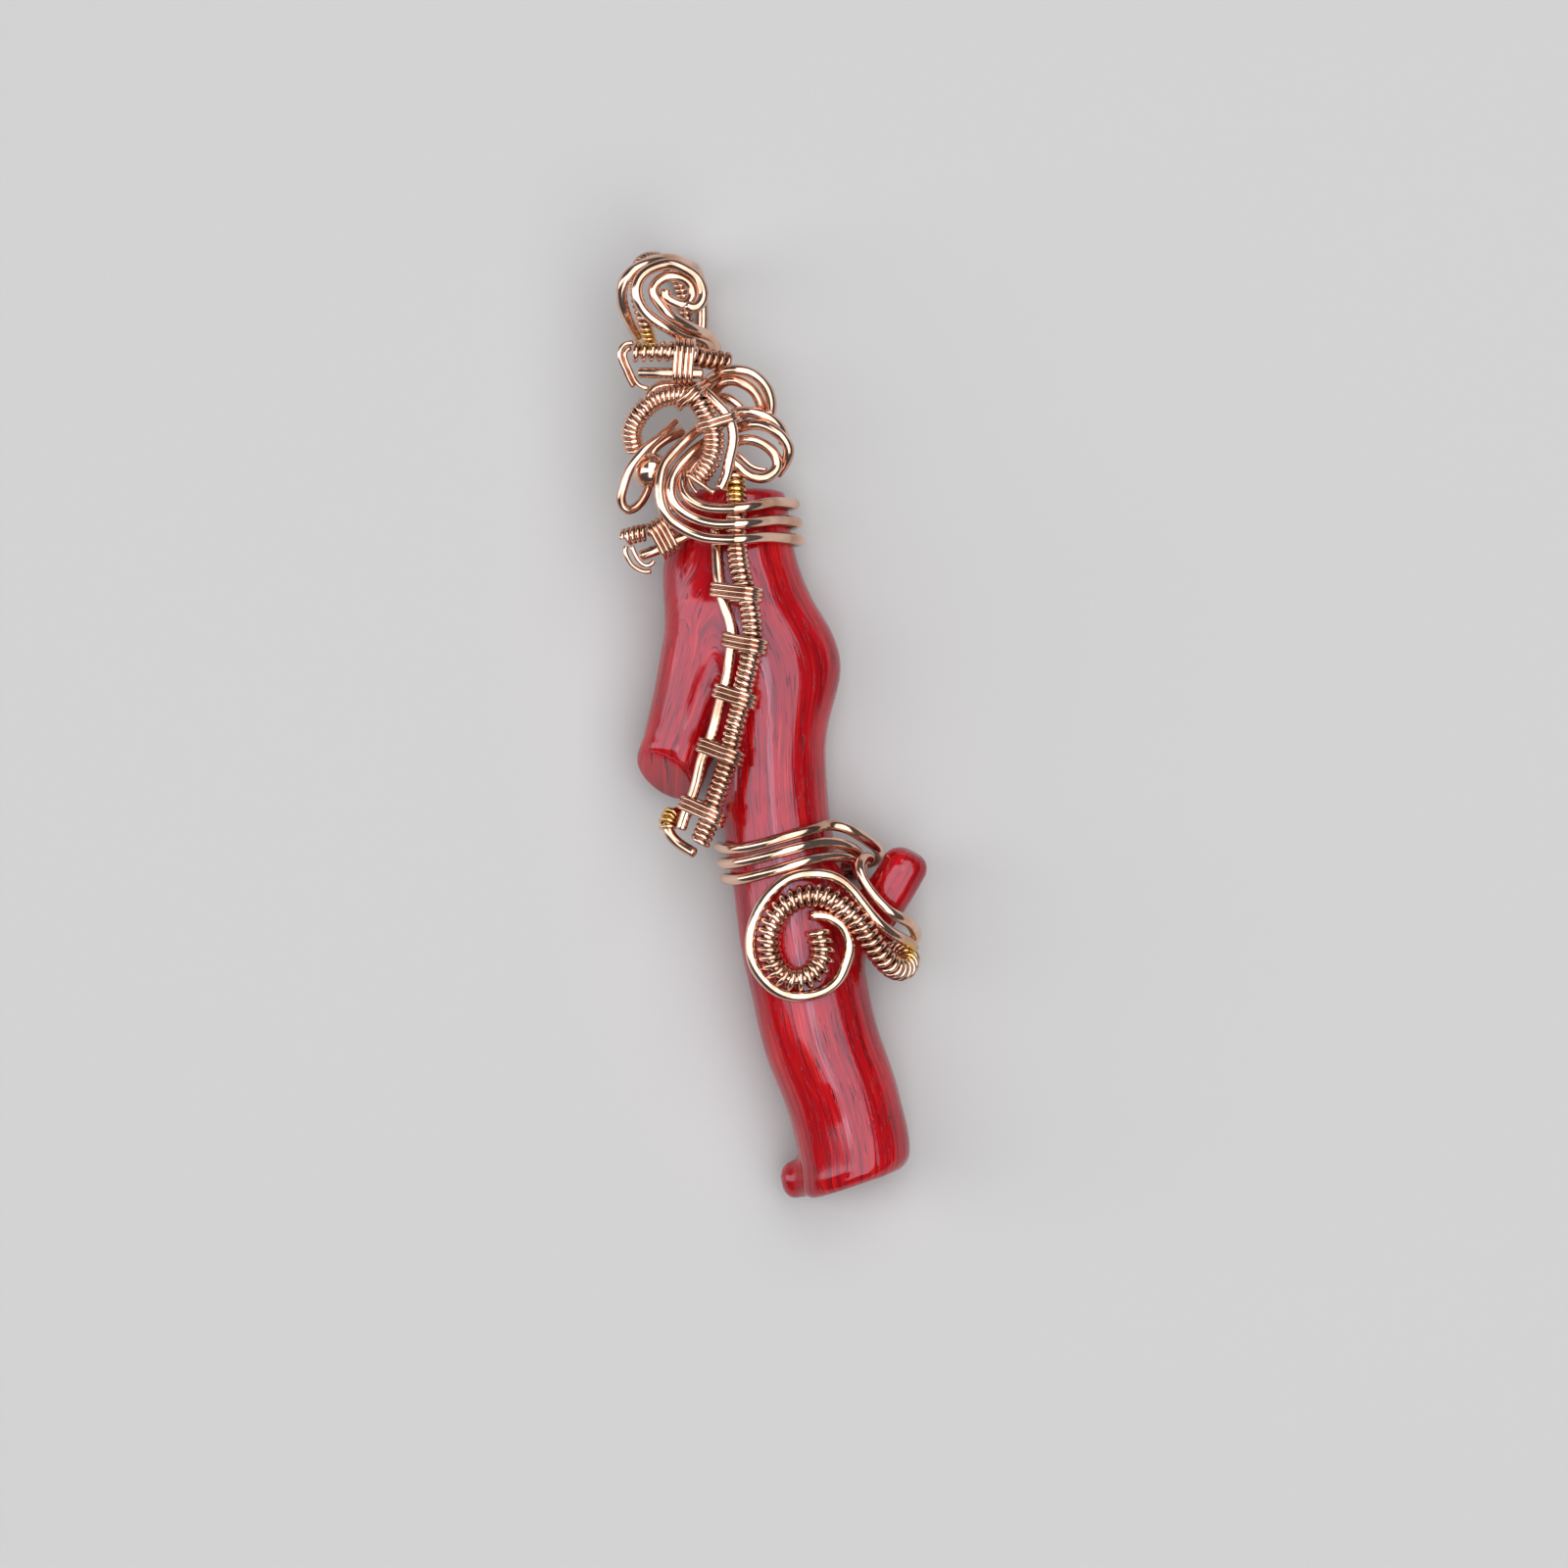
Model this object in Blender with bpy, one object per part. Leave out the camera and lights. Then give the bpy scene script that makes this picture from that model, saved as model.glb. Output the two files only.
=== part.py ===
# Red coral branch worn as a pendant: a dyed, polished coral limb wrapped in copper wire.
# It lies on its back. +Y points to the bail, +X to the right and +Z out of the face.
# All working lengths are millimetres; mm turns them into metres at the end.
import math

import bmesh
import bpy
import numpy as np
from mathutils import Vector

mm = 0.001

# Driving dimensions
thickWire = 0.8
mediumWire = 0.6
fineWire = 0.4
coilOuter = 1.6
bailCoilOuter = 1.2
sideCoilOuter = 1.3
ribPitch = 1.45
ribDepth = 0.17
beadDiameter = 3.0
beadHole = 1.1
touchGap = 0.08
limbGap = 0.15
trunkTop = 18.9
forkHeight = 2.0
trunkFoot = -39.6
trunkSides = 16
limbSides = 12
ringStep = 2.0

# Trunk of the coral, cut across at heights along Y:
# (height, centre in X, half width, back in Z, front in Z, slope of the cut in the page)
trunkStations = [
    (19.2, -3.1, 3.9, 1.6, 7.8, 0.0),
    (17.6, -3.35, 4.5, 1.15, 8.3, 0.0),
    (16.0, -3.4, 4.8, 1.0, 8.6, 0.0),
    (14.0, -3.55, 5.3, 0.95, 8.9, 0.0),
    (12.0, -3.35, 5.75, 0.95, 9.15, 0.0),
    (10.0, -2.85, 6.15, 0.95, 9.4, 0.0),
    (8.2, -2.2, 6.6, 0.95, 9.6, 0.0),
    (6.4, -1.25, 6.4, 0.95, 9.7, 0.0),
    (4.6, -0.6, 6.0, 0.95, 9.7, 0.0),
    (2.5, -0.2, 5.2, 0.95, 9.55, 0.0),
    (0.2, -0.1, 4.5, 0.95, 9.4, 0.0),
    (-3.4, -0.1, 4.3, 1.0, 9.2, 0.0),
    (-7.4, 0.15, 4.4, 1.0, 9.1, 0.0),
    (-10.5, 0.7, 4.5, 1.0, 9.15, 0.0),
    (-13.1, 1.4, 4.7, 1.0, 9.2, 0.0),
    (-17.4, 2.1, 4.85, 0.95, 9.2, 0.05),
    (-22.4, 3.1, 4.65, 0.8, 9.2, 0.15),
    (-26.2, 4.1, 4.65, 0.7, 9.2, 0.17),
    (-29.3, 5.3, 4.5, 0.65, 9.2, 0.22),
    (-31.8, 6.0, 4.4, 0.65, 9.15, 0.26),
    (-34.3, 6.5, 4.4, 0.65, 9.1, 0.29),
    (-37.6, 6.6, 4.4, 0.7, 9.0, 0.34),
    (-41.0, 6.7, 4.4, 0.7, 9.0, 0.34),
]
footCut = ((6.3, -37.15, 4.8), (0.32, -0.947, 0.0))
footRim = 1.2

# Side limbs: (x, y, z, radius) along the axis, the cut at the tip and how far its rim is rounded
armAxis = [
    (-4.0, 10.2, 5.0, 3.9),
    (-4.8, 7.4, 5.0, 3.9),
    (-5.7, 4.4, 5.0, 3.8),
    (-6.6, 1.6, 5.0, 3.4),
    (-7.5, -1.0, 5.0, 3.1),
    (-8.35, -3.3, 5.0, 2.8),
    (-9.1, -5.4, 5.0, 2.5),
]
armCut = ((-9.2, -3.9, 5.0), (-0.44, -0.77, 0.46))
armRim = 0.7
stubAxis = [
    (5.6, -17.0, 5.0, 2.4),
    (7.6, -15.4, 5.4, 2.15),
    (8.9, -13.9, 5.9, 1.95),
    (9.9, -12.4, 6.2, 1.88),
    (10.7, -11.0, 6.4, 1.85),
    (11.3, -9.8, 6.5, 1.8),
]
stubCut = ((11.15, -10.1, 6.5), (0.45, 0.88, 0.15))
stubRim = 1.3
nubAxis = [
    (5.0, -36.0, 3.4, 1.5),
    (3.6, -36.4, 3.2, 1.6),
    (2.2, -36.7, 3.0, 1.65),
    (0.2, -37.1, 2.8, 1.6),
]
nubCut = ((0.56, -36.95, 3.0), (-0.97, -0.2, 0.0))
nubRim = 1.4


def splineThrough(knots, values):
    # Natural cubic curve through values at the given knots; returns a function
    knots = np.asarray(knots, float)
    values = np.asarray(values, float)
    count = len(knots)
    gaps = np.diff(knots)
    matrix = np.eye(count)
    bends = np.zeros_like(values)
    for i in range(1, count - 1):
        matrix[i, i - 1] = gaps[i - 1]
        matrix[i, i] = 2 * (gaps[i - 1] + gaps[i])
        matrix[i, i + 1] = gaps[i]
        after = (values[i + 1] - values[i]) / gaps[i]
        before = (values[i] - values[i - 1]) / gaps[i - 1]
        bends[i] = 6 * (after - before)
    curvature = np.linalg.solve(matrix, bends)

    def at(where):
        where = np.atleast_1d(np.asarray(where, float))
        i = np.clip(np.searchsorted(knots, where) - 1, 0, count - 2)
        h = gaps[i][:, None]
        left = (knots[i + 1] - where)[:, None]
        right = (where - knots[i])[:, None]
        result = curvature[i] * left ** 3 / (6 * h) + curvature[i + 1] * right ** 3 / (6 * h)
        result += (values[i] / h - curvature[i] * h / 6) * left
        result += (values[i + 1] / h - curvature[i + 1] * h / 6) * right
        return result

    return at


def smoothRoute(points, step):
    # Evenly spaced places on a smooth curve through the points
    points = np.array(points, float)
    chords = np.linalg.norm(np.diff(points, axis=0), axis=1)
    knots = np.concatenate(([0.0], np.cumsum(chords)))
    fine = splineThrough(knots, points)(np.linspace(0, knots[-1], 40 * len(points)))
    lengths = np.concatenate(([0.0], np.cumsum(np.linalg.norm(np.diff(fine, axis=0), axis=1))))
    count = max(3, int(round(lengths[-1] / step)) + 1)
    wanted = np.linspace(0, lengths[-1], count)
    return np.column_stack([np.interp(wanted, lengths, fine[:, k]) for k in range(fine.shape[1])])


trunkTable = np.array(trunkStations)[::-1]
trunkAt = splineThrough(trunkTable[:, 0], trunkTable[:, 1:])


def trunkPoint(height, angle, lift=0.0):
    # A place on the trunk's skin, lift outside it; angle 0 is right, 90 front, -90 back
    centre, half, back, front, slope = trunkAt(height)[0]
    c = math.cos(math.radians(angle))
    s = math.sin(math.radians(angle))
    middle = (back + front) / 2
    depth = (front - back) / 2 + lift
    if s < 0:
        # the back is flatter than the front
        c = math.copysign(abs(c) ** 0.7, c)
        s = -(abs(s) ** 0.7)
    x = centre + (half + lift) * c
    return (x, height + slope * (x - centre), middle + depth * s)


def frontHeight(x, y):
    # Height of the trunk's front above the floor at a place in the page
    centre, half, back, front, slope = trunkAt(y)[0]
    across = min(abs(x - centre) / half, 0.98)
    middle = (back + front) / 2
    return middle + (front - middle) * math.sqrt(1 - across ** 2)


def onFront(places, lift):
    # Points that lie lift above the trunk's front
    return [(x, y, frontHeight(x, y) + lift) for x, y in places]


def around(turns, lift):
    # Points round the trunk from (angle, height) pairs
    return [trunkPoint(height, angle, lift) for angle, height in turns]


def material(name, colour, roughness, metallic):
    made = bpy.data.materials.new(name)
    made.use_nodes = True
    shader = made.node_tree.nodes["Principled BSDF"]
    shader.inputs["Base Color"].default_value = (*colour, 1)
    shader.inputs["Roughness"].default_value = roughness
    shader.inputs["Metallic"].default_value = metallic
    made.diffuse_color = (*colour, 1)
    return made


def place(thing, finish, whole):
    bpy.context.scene.collection.objects.link(thing)
    thing.parent = whole
    thing.data.materials.append(finish)
    return thing


def wire(name, points, diameter, finish, whole, step=1.9, sides=6):
    # A round wire along a smooth curve through its points
    route = smoothRoute(points, step)
    curve = bpy.data.curves.new(name, "CURVE")
    curve.dimensions = "3D"
    curve.bevel_depth = diameter / 2 * mm
    curve.bevel_resolution = (sides - 4) // 2
    curve.use_fill_caps = True
    spline = curve.splines.new("POLY")
    spline.points.add(len(route) - 1)
    for target, spot in zip(spline.points, route):
        target.co = (*(spot * mm), 1)
    return place(bpy.data.objects.new(name, curve), finish, whole)


def coil(name, points, outer, finish, whole, sides=8):
    # A close winding of fine wire: a rod whose radius swells once for each turn shown
    made = wire(name, points, outer, finish, whole, ribPitch / 2, sides)
    for i, target in enumerate(made.data.splines[0].points):
        target.radius = 1 if i % 2 else 1 - 2 * ribDepth / outer
    return made


def skin(name, rings, finish, whole, loop=False):
    # Closed skin over rings of points, capped at both ends or joined end to end
    bm = bmesh.new()
    rows = [[bm.verts.new(Vector(p) * mm) for p in ring] for ring in rings]
    pairs = list(zip(rows, rows[1:]))
    if loop:
        pairs.append((rows[-1], rows[0]))
    else:
        bm.faces.new(rows[0])
        bm.faces.new(rows[-1])
    for first, second in pairs:
        count = len(first)
        for k in range(count):
            n = (k + 1) % count
            bm.faces.new((first[k], first[n], second[n], second[k]))
    bmesh.ops.recalc_face_normals(bm, faces=bm.faces)
    mesh = bpy.data.meshes.new(name)
    bm.to_mesh(mesh)
    bm.free()
    mesh.shade_smooth()
    mesh.set_sharp_from_angle(angle=math.radians(50))
    return place(bpy.data.objects.new(name, mesh), finish, whole)


def trunkRings(top, bottom, lift=0.0):
    count = int(round((top - bottom) / ringStep)) + 1
    rings = []
    for height in np.linspace(top, bottom, count):
        angles = np.linspace(0, 360, trunkSides, endpoint=False) - 90
        rings.append([trunkPoint(height, (a + 180) % 360 - 180, lift) for a in angles])
    return rings


def limbRings(axis, lift=0.0, sides=limbSides, step=ringStep):
    route = smoothRoute(axis, step)
    rings = []
    for i, spot in enumerate(route):
        ahead = route[min(i + 1, len(route) - 1)][:3] - route[max(i - 1, 0)][:3]
        forward = Vector(ahead).normalized()
        side = forward.cross(Vector((0, 0, 1))).normalized()
        up = side.cross(forward)
        ring = []
        for k in range(sides):
            a = 2 * math.pi * (k + 0.5) / sides
            out = side * math.cos(a) + up * math.sin(a)
            ring.append(Vector(spot[:3]) + out * (spot[3] + lift))
        rings.append(ring)
    return rings


def cutEnd(rings, cut, rim, steps=2):
    # Ends the rings on a flat cut whose rim is rounded by the radius rim
    origin, normal = Vector(cut[0]), Vector(cut[1]).normalized()
    rings = [[Vector(p) for p in ring] for ring in rings]
    kept = [ring for ring in rings if max((p - origin).dot(normal) for p in ring) < -1.1 * rim]
    last = kept[-1]
    middle = sum(last, Vector()) / len(last)
    before = sum(kept[-2], Vector()) / len(last)
    forward = (middle - before).normalized()
    for bend in np.linspace(0, math.pi / 2, steps + 1):
        inset = rim * (1 - math.cos(bend))
        depth = rim * (1 - math.sin(bend))
        ring = []
        for point in last:
            moved = point + (middle - point).normalized() * inset
            short = (origin - moved).dot(normal) - depth
            ring.append(moved + forward * short / forward.dot(normal))
        kept.append(ring)
    return kept


def carve(target, cutter):
    # Takes a slightly larger copy of the neighbour out of a limb
    cutter.hide_render = True
    cutter.display_type = "WIRE"
    cutting = target.modifiers.new("fork", "BOOLEAN")
    cutting.operation = "DIFFERENCE"
    cutting.solver = "EXACT"
    cutting.object = cutter


def makeCoral(coral, whole):
    crown = trunkRings(trunkTop, forkHeight + limbGap)
    lid = [Vector(p).lerp(Vector((-3.1, 19.2, 4.7)), 0.2) for p in crown[0]]
    lid = [Vector((p.x, 19.3, p.z)) for p in lid]
    skin("coral_crown", [lid] + crown, coral, whole)
    stem = trunkRings(forkHeight - limbGap, trunkFoot)
    skin("coral_main_stem", cutEnd(stem, footCut, footRim), coral, whole)
    body = skin("trunk_cutter", trunkRings(trunkTop, trunkFoot - 2, limbGap), coral, whole)
    for name, axis, cut, rim in (
        ("coral_left_arm", armAxis, armCut, armRim),
        ("coral_side_stub", stubAxis, stubCut, stubRim),
        ("coral_foot_nub", nubAxis, nubCut, nubRim),
    ):
        carve(skin(name, cutEnd(limbRings(axis), cut, rim), coral, whole), body)


def makeBead(copper, whole):
    # A turned ball with a hole along the wire that threads it
    centre = Vector((-10.0, 20.65, 7.4))
    along = Vector((0.13, 1.0, 0.0)).normalized()
    edge = math.asin(beadHole / beadDiameter)
    profile = []
    for a in np.linspace(edge, math.pi - edge, 9):
        profile.append((beadDiameter / 2 * math.sin(a), beadDiameter / 2 * math.cos(a)))
    side = along.cross(Vector((0, 0, 1))).normalized()
    up = side.cross(along)
    rings = []
    for a in np.linspace(0, 2 * math.pi, 16, endpoint=False):
        out = side * math.cos(a) + up * math.sin(a)
        rings.append([centre + out * r + along * h for r, h in profile])
    skin("copper_bead", rings, copper, whole, loop=True)


def meets(route, anchor, normal):
    # Where a route crosses a binding's plane, nearest to its anchor
    route = np.asarray(route)
    level = (route[:, :2] - np.array(anchor)) @ np.array(normal)
    best = None
    for i in range(len(route) - 1):
        if level[i] * level[i + 1] <= 0 and level[i] != level[i + 1]:
            spot = route[i] + (route[i + 1] - route[i]) * level[i] / (level[i] - level[i + 1])
            miss = np.linalg.norm(spot[:2] - np.array(anchor))
            if best is None or miss < best[0]:
                ahead = Vector(route[i + 1] - route[i]).normalized()
                best = (miss, Vector(spot), abs(ahead.dot(Vector((*normal, 0)))))
    return best[1], best[2]


def binding(name, held, anchor, slant, turns, finish, whole, slack=touchGap):
    # Turns of fine wire tied round two wires: one ribbed band that follows their outline
    tilt = math.radians(slant)
    across = Vector((math.cos(tilt), math.sin(tilt), 0))
    along = Vector((-across.y, across.x, 0))
    normal = (along.x, along.y)
    circles = []
    for route, radius in held:
        spot, square = meets(smoothRoute(route, 0.2), anchor, normal)
        circles.append((spot, radius / max(square, 0.8)))
    width = turns * fineWire
    profile = [(0, -width / 2), (0, width / 2)]
    for k in range(turns):
        middle = width / 2 - (k + 0.5) * fineWire
        profile.append((fineWire, middle))
        if k < turns - 1:
            profile.append((fineWire * 0.6, middle - fineWire / 2))
    rings = []
    for a in np.linspace(0, 2 * math.pi, 12, endpoint=False):
        out = across * math.cos(a) + Vector((0, 0, math.sin(a)))
        centre, radius = max(circles, key=lambda c: c[0].dot(out) + c[1])
        foot = centre + out * (radius + slack)
        rings.append([foot + out * r + along * h for r, h in profile])
    return skin(name, rings, finish, whole, loop=True)


# Wire routes, (x, y, z) in millimetres: sweeps from the top of the coral round its crown
sweepOuter = [
    (-5.2, 24.4, 7.2), (-6.33, 23.71, 8.0), (-7.51, 22.59, 8.6), (-8.18, 21.86, 8.9), (-8.7, 21.2, 9.1),
    (-9.1, 20.07, 9.4), (-9.2, 18.95, 9.5), (-9.05, 17.89, 9.6), (-8.6, 16.9, 9.6), (-7.75, 16.13, 9.5),
    (-6.63, 15.52, 9.6), (-5.51, 15.15, 9.9), (-4.4, 15.0, 10.5), (-3.05, 14.95, 11.05), (-1.6, 15.1, 10.4),
]
sweepMiddle = [
    (-4.9, 23.3, 7.2), (-6.16, 22.4, 8.1), (-7.2, 21.4, 8.6), (-7.95, 20.35, 9.0), (-8.3, 19.23, 9.4),
    (-8.1, 18.11, 9.5), (-7.5, 17.35, 9.6), (-6.63, 16.8, 9.6), (-5.51, 16.4, 9.8), (-4.3, 16.2, 10.3),
    (-3.05, 16.2, 10.75), (-1.6, 16.35, 10.2),
]
sweepInner = [
    (-4.6, 22.9, 6.2), (-5.9, 22.1, 6.9), (-6.9, 21.1, 7.7), (-7.4, 20.1, 8.6), (-7.35, 19.2, 9.0),
    (-7.0, 18.45, 9.3), (-6.4, 17.95, 9.45), (-5.51, 17.6, 9.6), (-4.4, 17.45, 10.0), (-3.05, 17.45, 10.4),
    (-1.6, 17.7, 9.9),
]
sweepFine = [
    (-5.9, 21.5, 8.2), (-6.6, 20.75, 8.4), (-6.85, 20.1, 8.45), (-6.65, 19.4, 8.5), (-6.2, 18.75, 8.6),
]
behindCrown = (45, 15, -15, -45, -75, -105, -135, -165)

# The arched coil above the coral, the plain wire beside it and its tail
arcCoil = [
    (-11.2, 22.25, 7.6), (-11.45, 23.75, 8.2), (-10.8, 25.1, 8.8), (-9.6, 26.2, 8.8),
    (-8.0, 26.65, 8.9), (-6.8, 26.55, 9.2), (-6.0, 26.0, 9.7), (-5.45, 24.95, 9.7),
    (-4.95, 24.0, 9.7), (-4.8, 22.95, 9.7), (-4.95, 21.75, 9.6), (-5.45, 20.8, 9.4),
    (-6.25, 19.75, 9.1),
]
arcWire = [
    (-10.25, 26.15, 7.4), (-9.6, 27.2, 7.6), (-8.0, 27.5, 7.8), (-6.8, 27.4, 8.15),
    (-5.85, 27.15, 8.85), (-4.9, 26.25, 9.4), (-4.0, 25.3, 9.6), (-3.35, 24.0, 9.7),
    (-3.3, 22.65, 9.7), (-3.6, 21.3, 9.6), (-3.95, 19.9, 9.6), (-4.4, 19.05, 9.6),
]
arcTail = [(-6.95, 20.25, 10.3), (-6.55, 19.9, 10.4), (-5.7, 19.3, 10.4), (-4.8, 18.7, 10.6)]

# Petals at the right of the top
petalOneOuter = [
    (-5.45, 27.35, 7.0), (-5.2, 27.9, 7.2), (-4.7, 28.3, 7.8), (-3.9, 28.6, 8.5),
    (-3.02, 28.67, 8.7), (-2.13, 28.54, 8.7), (-1.2, 27.95, 8.6), (-0.55, 27.15, 8.5),
    (-0.26, 26.26, 8.2), (-0.25, 25.4, 7.8), (-0.35, 24.8, 7.5),
]
petalOneInner = [
    (-5.1, 26.55, 7.2), (-4.75, 27.05, 7.6), (-4.25, 27.6, 8.0), (-3.4, 27.85, 8.3),
    (-2.4, 27.55, 8.3), (-1.7, 27.05, 8.1), (-1.2, 26.25, 7.8), (-0.95, 25.5, 7.3),
    (-0.9, 24.9, 6.8),
]
petalOneBack = [
    (-4.55, 26.4, 6.6), (-3.85, 26.5, 6.9), (-3.2, 26.15, 7.0), (-2.65, 25.6, 6.9), (-2.25, 24.95, 6.6),
]
petalTwoOuter = [
    (-3.75, 24.8, 7.7), (-2.95, 25.2, 8.0), (-1.7, 25.35, 8.4), (-0.5, 24.95, 8.6),
    (0.5, 23.9, 8.6), (1.2, 22.7, 8.3), (1.3, 22.1, 7.9), (0.8, 21.05, 7.2), (0.25, 20.4, 6.8),
]
petalTwoInner = [
    (-3.35, 23.85, 7.5), (-2.4, 24.25, 7.7), (-1.7, 24.45, 7.8), (-0.5, 24.25, 7.8),
    (0.5, 23.35, 7.5), (0.7, 22.8, 7.1),
]
petalTeardrop = [
    (-3.35, 22.7, 7.6), (-2.95, 22.95, 7.8), (-1.7, 23.05, 8.0), (-0.6, 22.55, 8.1),
    (0.15, 21.7, 8.2), (0.25, 20.9, 8.2), (-0.7, 20.05, 8.4), (-1.7, 20.1, 8.6),
    (-2.95, 20.95, 8.9), (-3.6, 21.6, 8.7),
]
petalFine = [(-3.2, 22.1, 7.0), (-2.8, 21.85, 7.1), (-1.7, 20.95, 7.2), (-0.55, 20.7, 7.2)]

# The cross bar under the bail
topBarCoil = [
    (-11.6, 30.5, 9.2), (-9.6, 30.2, 9.3), (-7.2, 29.85, 9.2), (-6.0, 29.7, 8.7),
    (-4.8, 29.5, 7.7), (-3.6, 29.3, 7.0), (-3.05, 29.2, 6.8),
]
topBarWire = [(-10.95, 28.5, 9.2), (-9.45, 28.3, 9.4), (-7.9, 28.2, 9.4), (-6.35, 28.3, 9.3)]
topLoopOuter = [
    (-11.35, 31.4, 9.1), (-12.0, 31.0, 9.6), (-12.35, 30.2, 9.6), (-12.35, 29.4, 9.4),
    (-12.0, 28.55, 9.3), (-11.6, 27.75, 9.1), (-11.2, 27.3, 8.9),
]
topLoopInner = [
    (-11.85, 29.0, 8.5), (-11.55, 28.5, 8.6), (-11.15, 27.8, 8.5), (-10.7, 27.4, 8.4), (-10.1, 27.25, 8.3),
]

# The bail: a coiled loop, a plain wire beside it and two wires that end in a swirl
bailCoil = [
    (-9.75, 30.25, 6.6), (-10.1, 31.35, 7.5), (-10.55, 32.95, 8.3), (-11.05, 34.55, 8.3),
    (-11.2, 35.7, 8.2), (-11.05, 36.65, 7.9), (-10.65, 37.45, 7.0), (-10.0, 37.85, 5.8),
    (-9.3, 37.85, 4.0), (-8.6, 37.45, 2.3), (-8.0, 36.7, 1.1), (-7.6, 35.6, 0.7),
    (-7.3, 34.15, 0.65), (-7.15, 32.55, 0.65), (-7.3, 31.1, 0.9), (-7.85, 30.1, 1.7),
]
bailSide = [
    (-11.2, 31.2, 6.6), (-12.0, 32.3, 7.7), (-12.55, 33.75, 8.6), (-12.7, 35.05, 9.2),
    (-12.15, 36.15, 9.6), (-11.2, 36.9, 9.6), (-10.1, 37.35, 9.2), (-8.95, 37.7, 8.3),
    (-7.85, 37.6, 7.0), (-6.95, 37.35, 5.2), (-6.45, 37.2, 3.3), (-6.15, 36.6, 1.7),
    (-5.95, 35.6, 0.85), (-5.85, 34.4, 0.55), (-5.85, 32.8, 0.55), (-6.1, 31.35, 0.7),
    (-6.7, 30.25, 1.4),
]
bailSwirlOuter = [
    (-4.55, 29.45, 4.8), (-4.9, 30.1, 5.5), (-5.2, 30.55, 6.3), (-5.9, 30.9, 7.2),
    (-7.2, 31.3, 8.1), (-8.5, 31.95, 9.1), (-9.7, 32.7, 9.6), (-10.65, 33.65, 9.9),
    (-11.05, 34.8, 10.0), (-10.9, 35.7, 10.0), (-10.25, 36.5, 10.0), (-9.3, 36.95, 10.1),
    (-8.25, 37.1, 10.2), (-7.2, 36.7, 10.3), (-6.3, 36.1, 10.4), (-5.75, 35.1, 10.5),
    (-5.75, 34.15, 10.6), (-6.4, 33.55, 10.7), (-7.1, 33.75, 10.7),
]
bailSwirlInner = [
    (-4.7, 30.6, 4.2), (-4.95, 31.15, 5.2), (-5.45, 31.6, 6.4), (-6.5, 32.0, 7.9),
    (-7.7, 32.6, 8.9), (-8.65, 33.3, 9.5), (-9.3, 34.1, 9.6), (-9.7, 35.05, 9.6),
    (-9.3, 35.75, 9.6), (-8.3, 36.15, 9.6), (-7.2, 35.9, 9.6), (-6.55, 35.2, 9.6),
    (-6.65, 34.3, 9.6), (-7.3, 33.85, 9.6), (-7.9, 34.0, 9.6), (-8.65, 34.5, 9.6),
    (-8.65, 35.1, 9.6),
]
beadWire = [
    (-7.3, 23.85, 6.4), (-8.15, 23.45, 6.9), (-9.1, 22.9, 7.3), (-9.75, 22.25, 7.4),
    (-10.0, 20.65, 7.4), (-10.2, 19.2, 7.4), (-10.95, 17.85, 7.8), (-11.85, 17.45, 8.2),
    (-12.3, 18.15, 8.5), (-12.15, 19.1, 8.7), (-11.7, 20.5, 8.9), (-10.65, 22.0, 9.0),
    (-9.6, 22.95, 8.6), (-8.7, 23.7, 8.0), (-7.85, 24.65, 7.2),
]

# The strand that runs down the front of the coral
strandCoilTop = [
    (-3.45, 20.6, 7.4), (-3.2, 19.75, 8.3), (-3.05, 18.55, 8.8), (-3.05, 17.35, 9.2),
    (-3.05, 16.15, 9.5), (-2.95, 14.0, 9.95),
]
strandCoilFront = [
    (-2.65, 12.15), (-2.1, 10.15), (-1.75, 8.15), (-1.75, 6.55), (-2.0, 4.95), (-2.4, 3.35),
    (-2.7, 1.75),
]
strandCoilFoot = [
    (-3.2, -0.25, 10.3), (-3.6, -2.25, 9.9), (-4.15, -4.25, 9.5), (-4.7, -5.85, 9.2),
    (-5.2, -7.45, 8.9), (-6.0, -9.45, 8.5),
]
strandWireTop = [(-4.7, 15.9), (-4.6, 14.15), (-4.45, 11.85), (-4.05, 9.9), (-3.4, 7.7), (-3.5, 5.85)]
strandWireFoot = [
    (-3.85, 3.6, 10.3), (-4.4, 1.6, 10.1), (-5.0, -0.7, 9.8), (-5.8, -2.7, 9.5), (-6.15, -4.25, 9.2),
    (-6.6, -5.7, 8.9), (-7.2, -7.35, 8.5), (-7.5, -8.3, 8.3),
]
strandEnd = [
    (-6.4, -10.25, 8.2), (-7.05, -9.85, 7.9), (-7.9, -9.25, 7.6), (-8.45, -8.5, 7.5),
    (-8.55, -7.85, 7.3), (-8.3, -7.2, 6.8), (-7.6, -6.9, 5.8), (-6.9, -7.0, 4.6),
]

# The short cross bar at the coral's upper left
sideBarCoil = [(-10.35, 15.6, 8.4), (-11.1, 15.5, 8.2), (-12.0, 15.3, 7.8)]
sideBarUpper = [(-10.2, 15.65, 8.5), (-9.3, 15.85, 8.6), (-8.5, 16.15, 8.5), (-7.7, 16.5, 8.3)]
sideBarLower = [
    (-10.75, 13.7, 8.4), (-9.7, 14.1, 8.6), (-8.64, 14.56, 8.5), (-7.7, 15.05, 8.3), (-6.9, 15.5, 8.25),
]
sideLoopOuter = [
    (-11.9, 14.3, 8.8), (-11.98, 14.0, 8.8), (-11.8, 13.5, 8.8), (-11.46, 13.0, 8.7),
    (-10.97, 12.62, 8.6), (-10.4, 12.45, 8.5), (-9.9, 12.45, 8.4),
]
sideLoopInner = [
    (-11.46, 14.4, 9.4), (-11.25, 13.94, 9.4), (-10.97, 13.42, 9.4), (-10.66, 13.05, 9.4),
    (-10.31, 12.95, 9.4), (-9.96, 13.05, 9.4), (-9.65, 13.35, 9.4),
]

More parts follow.
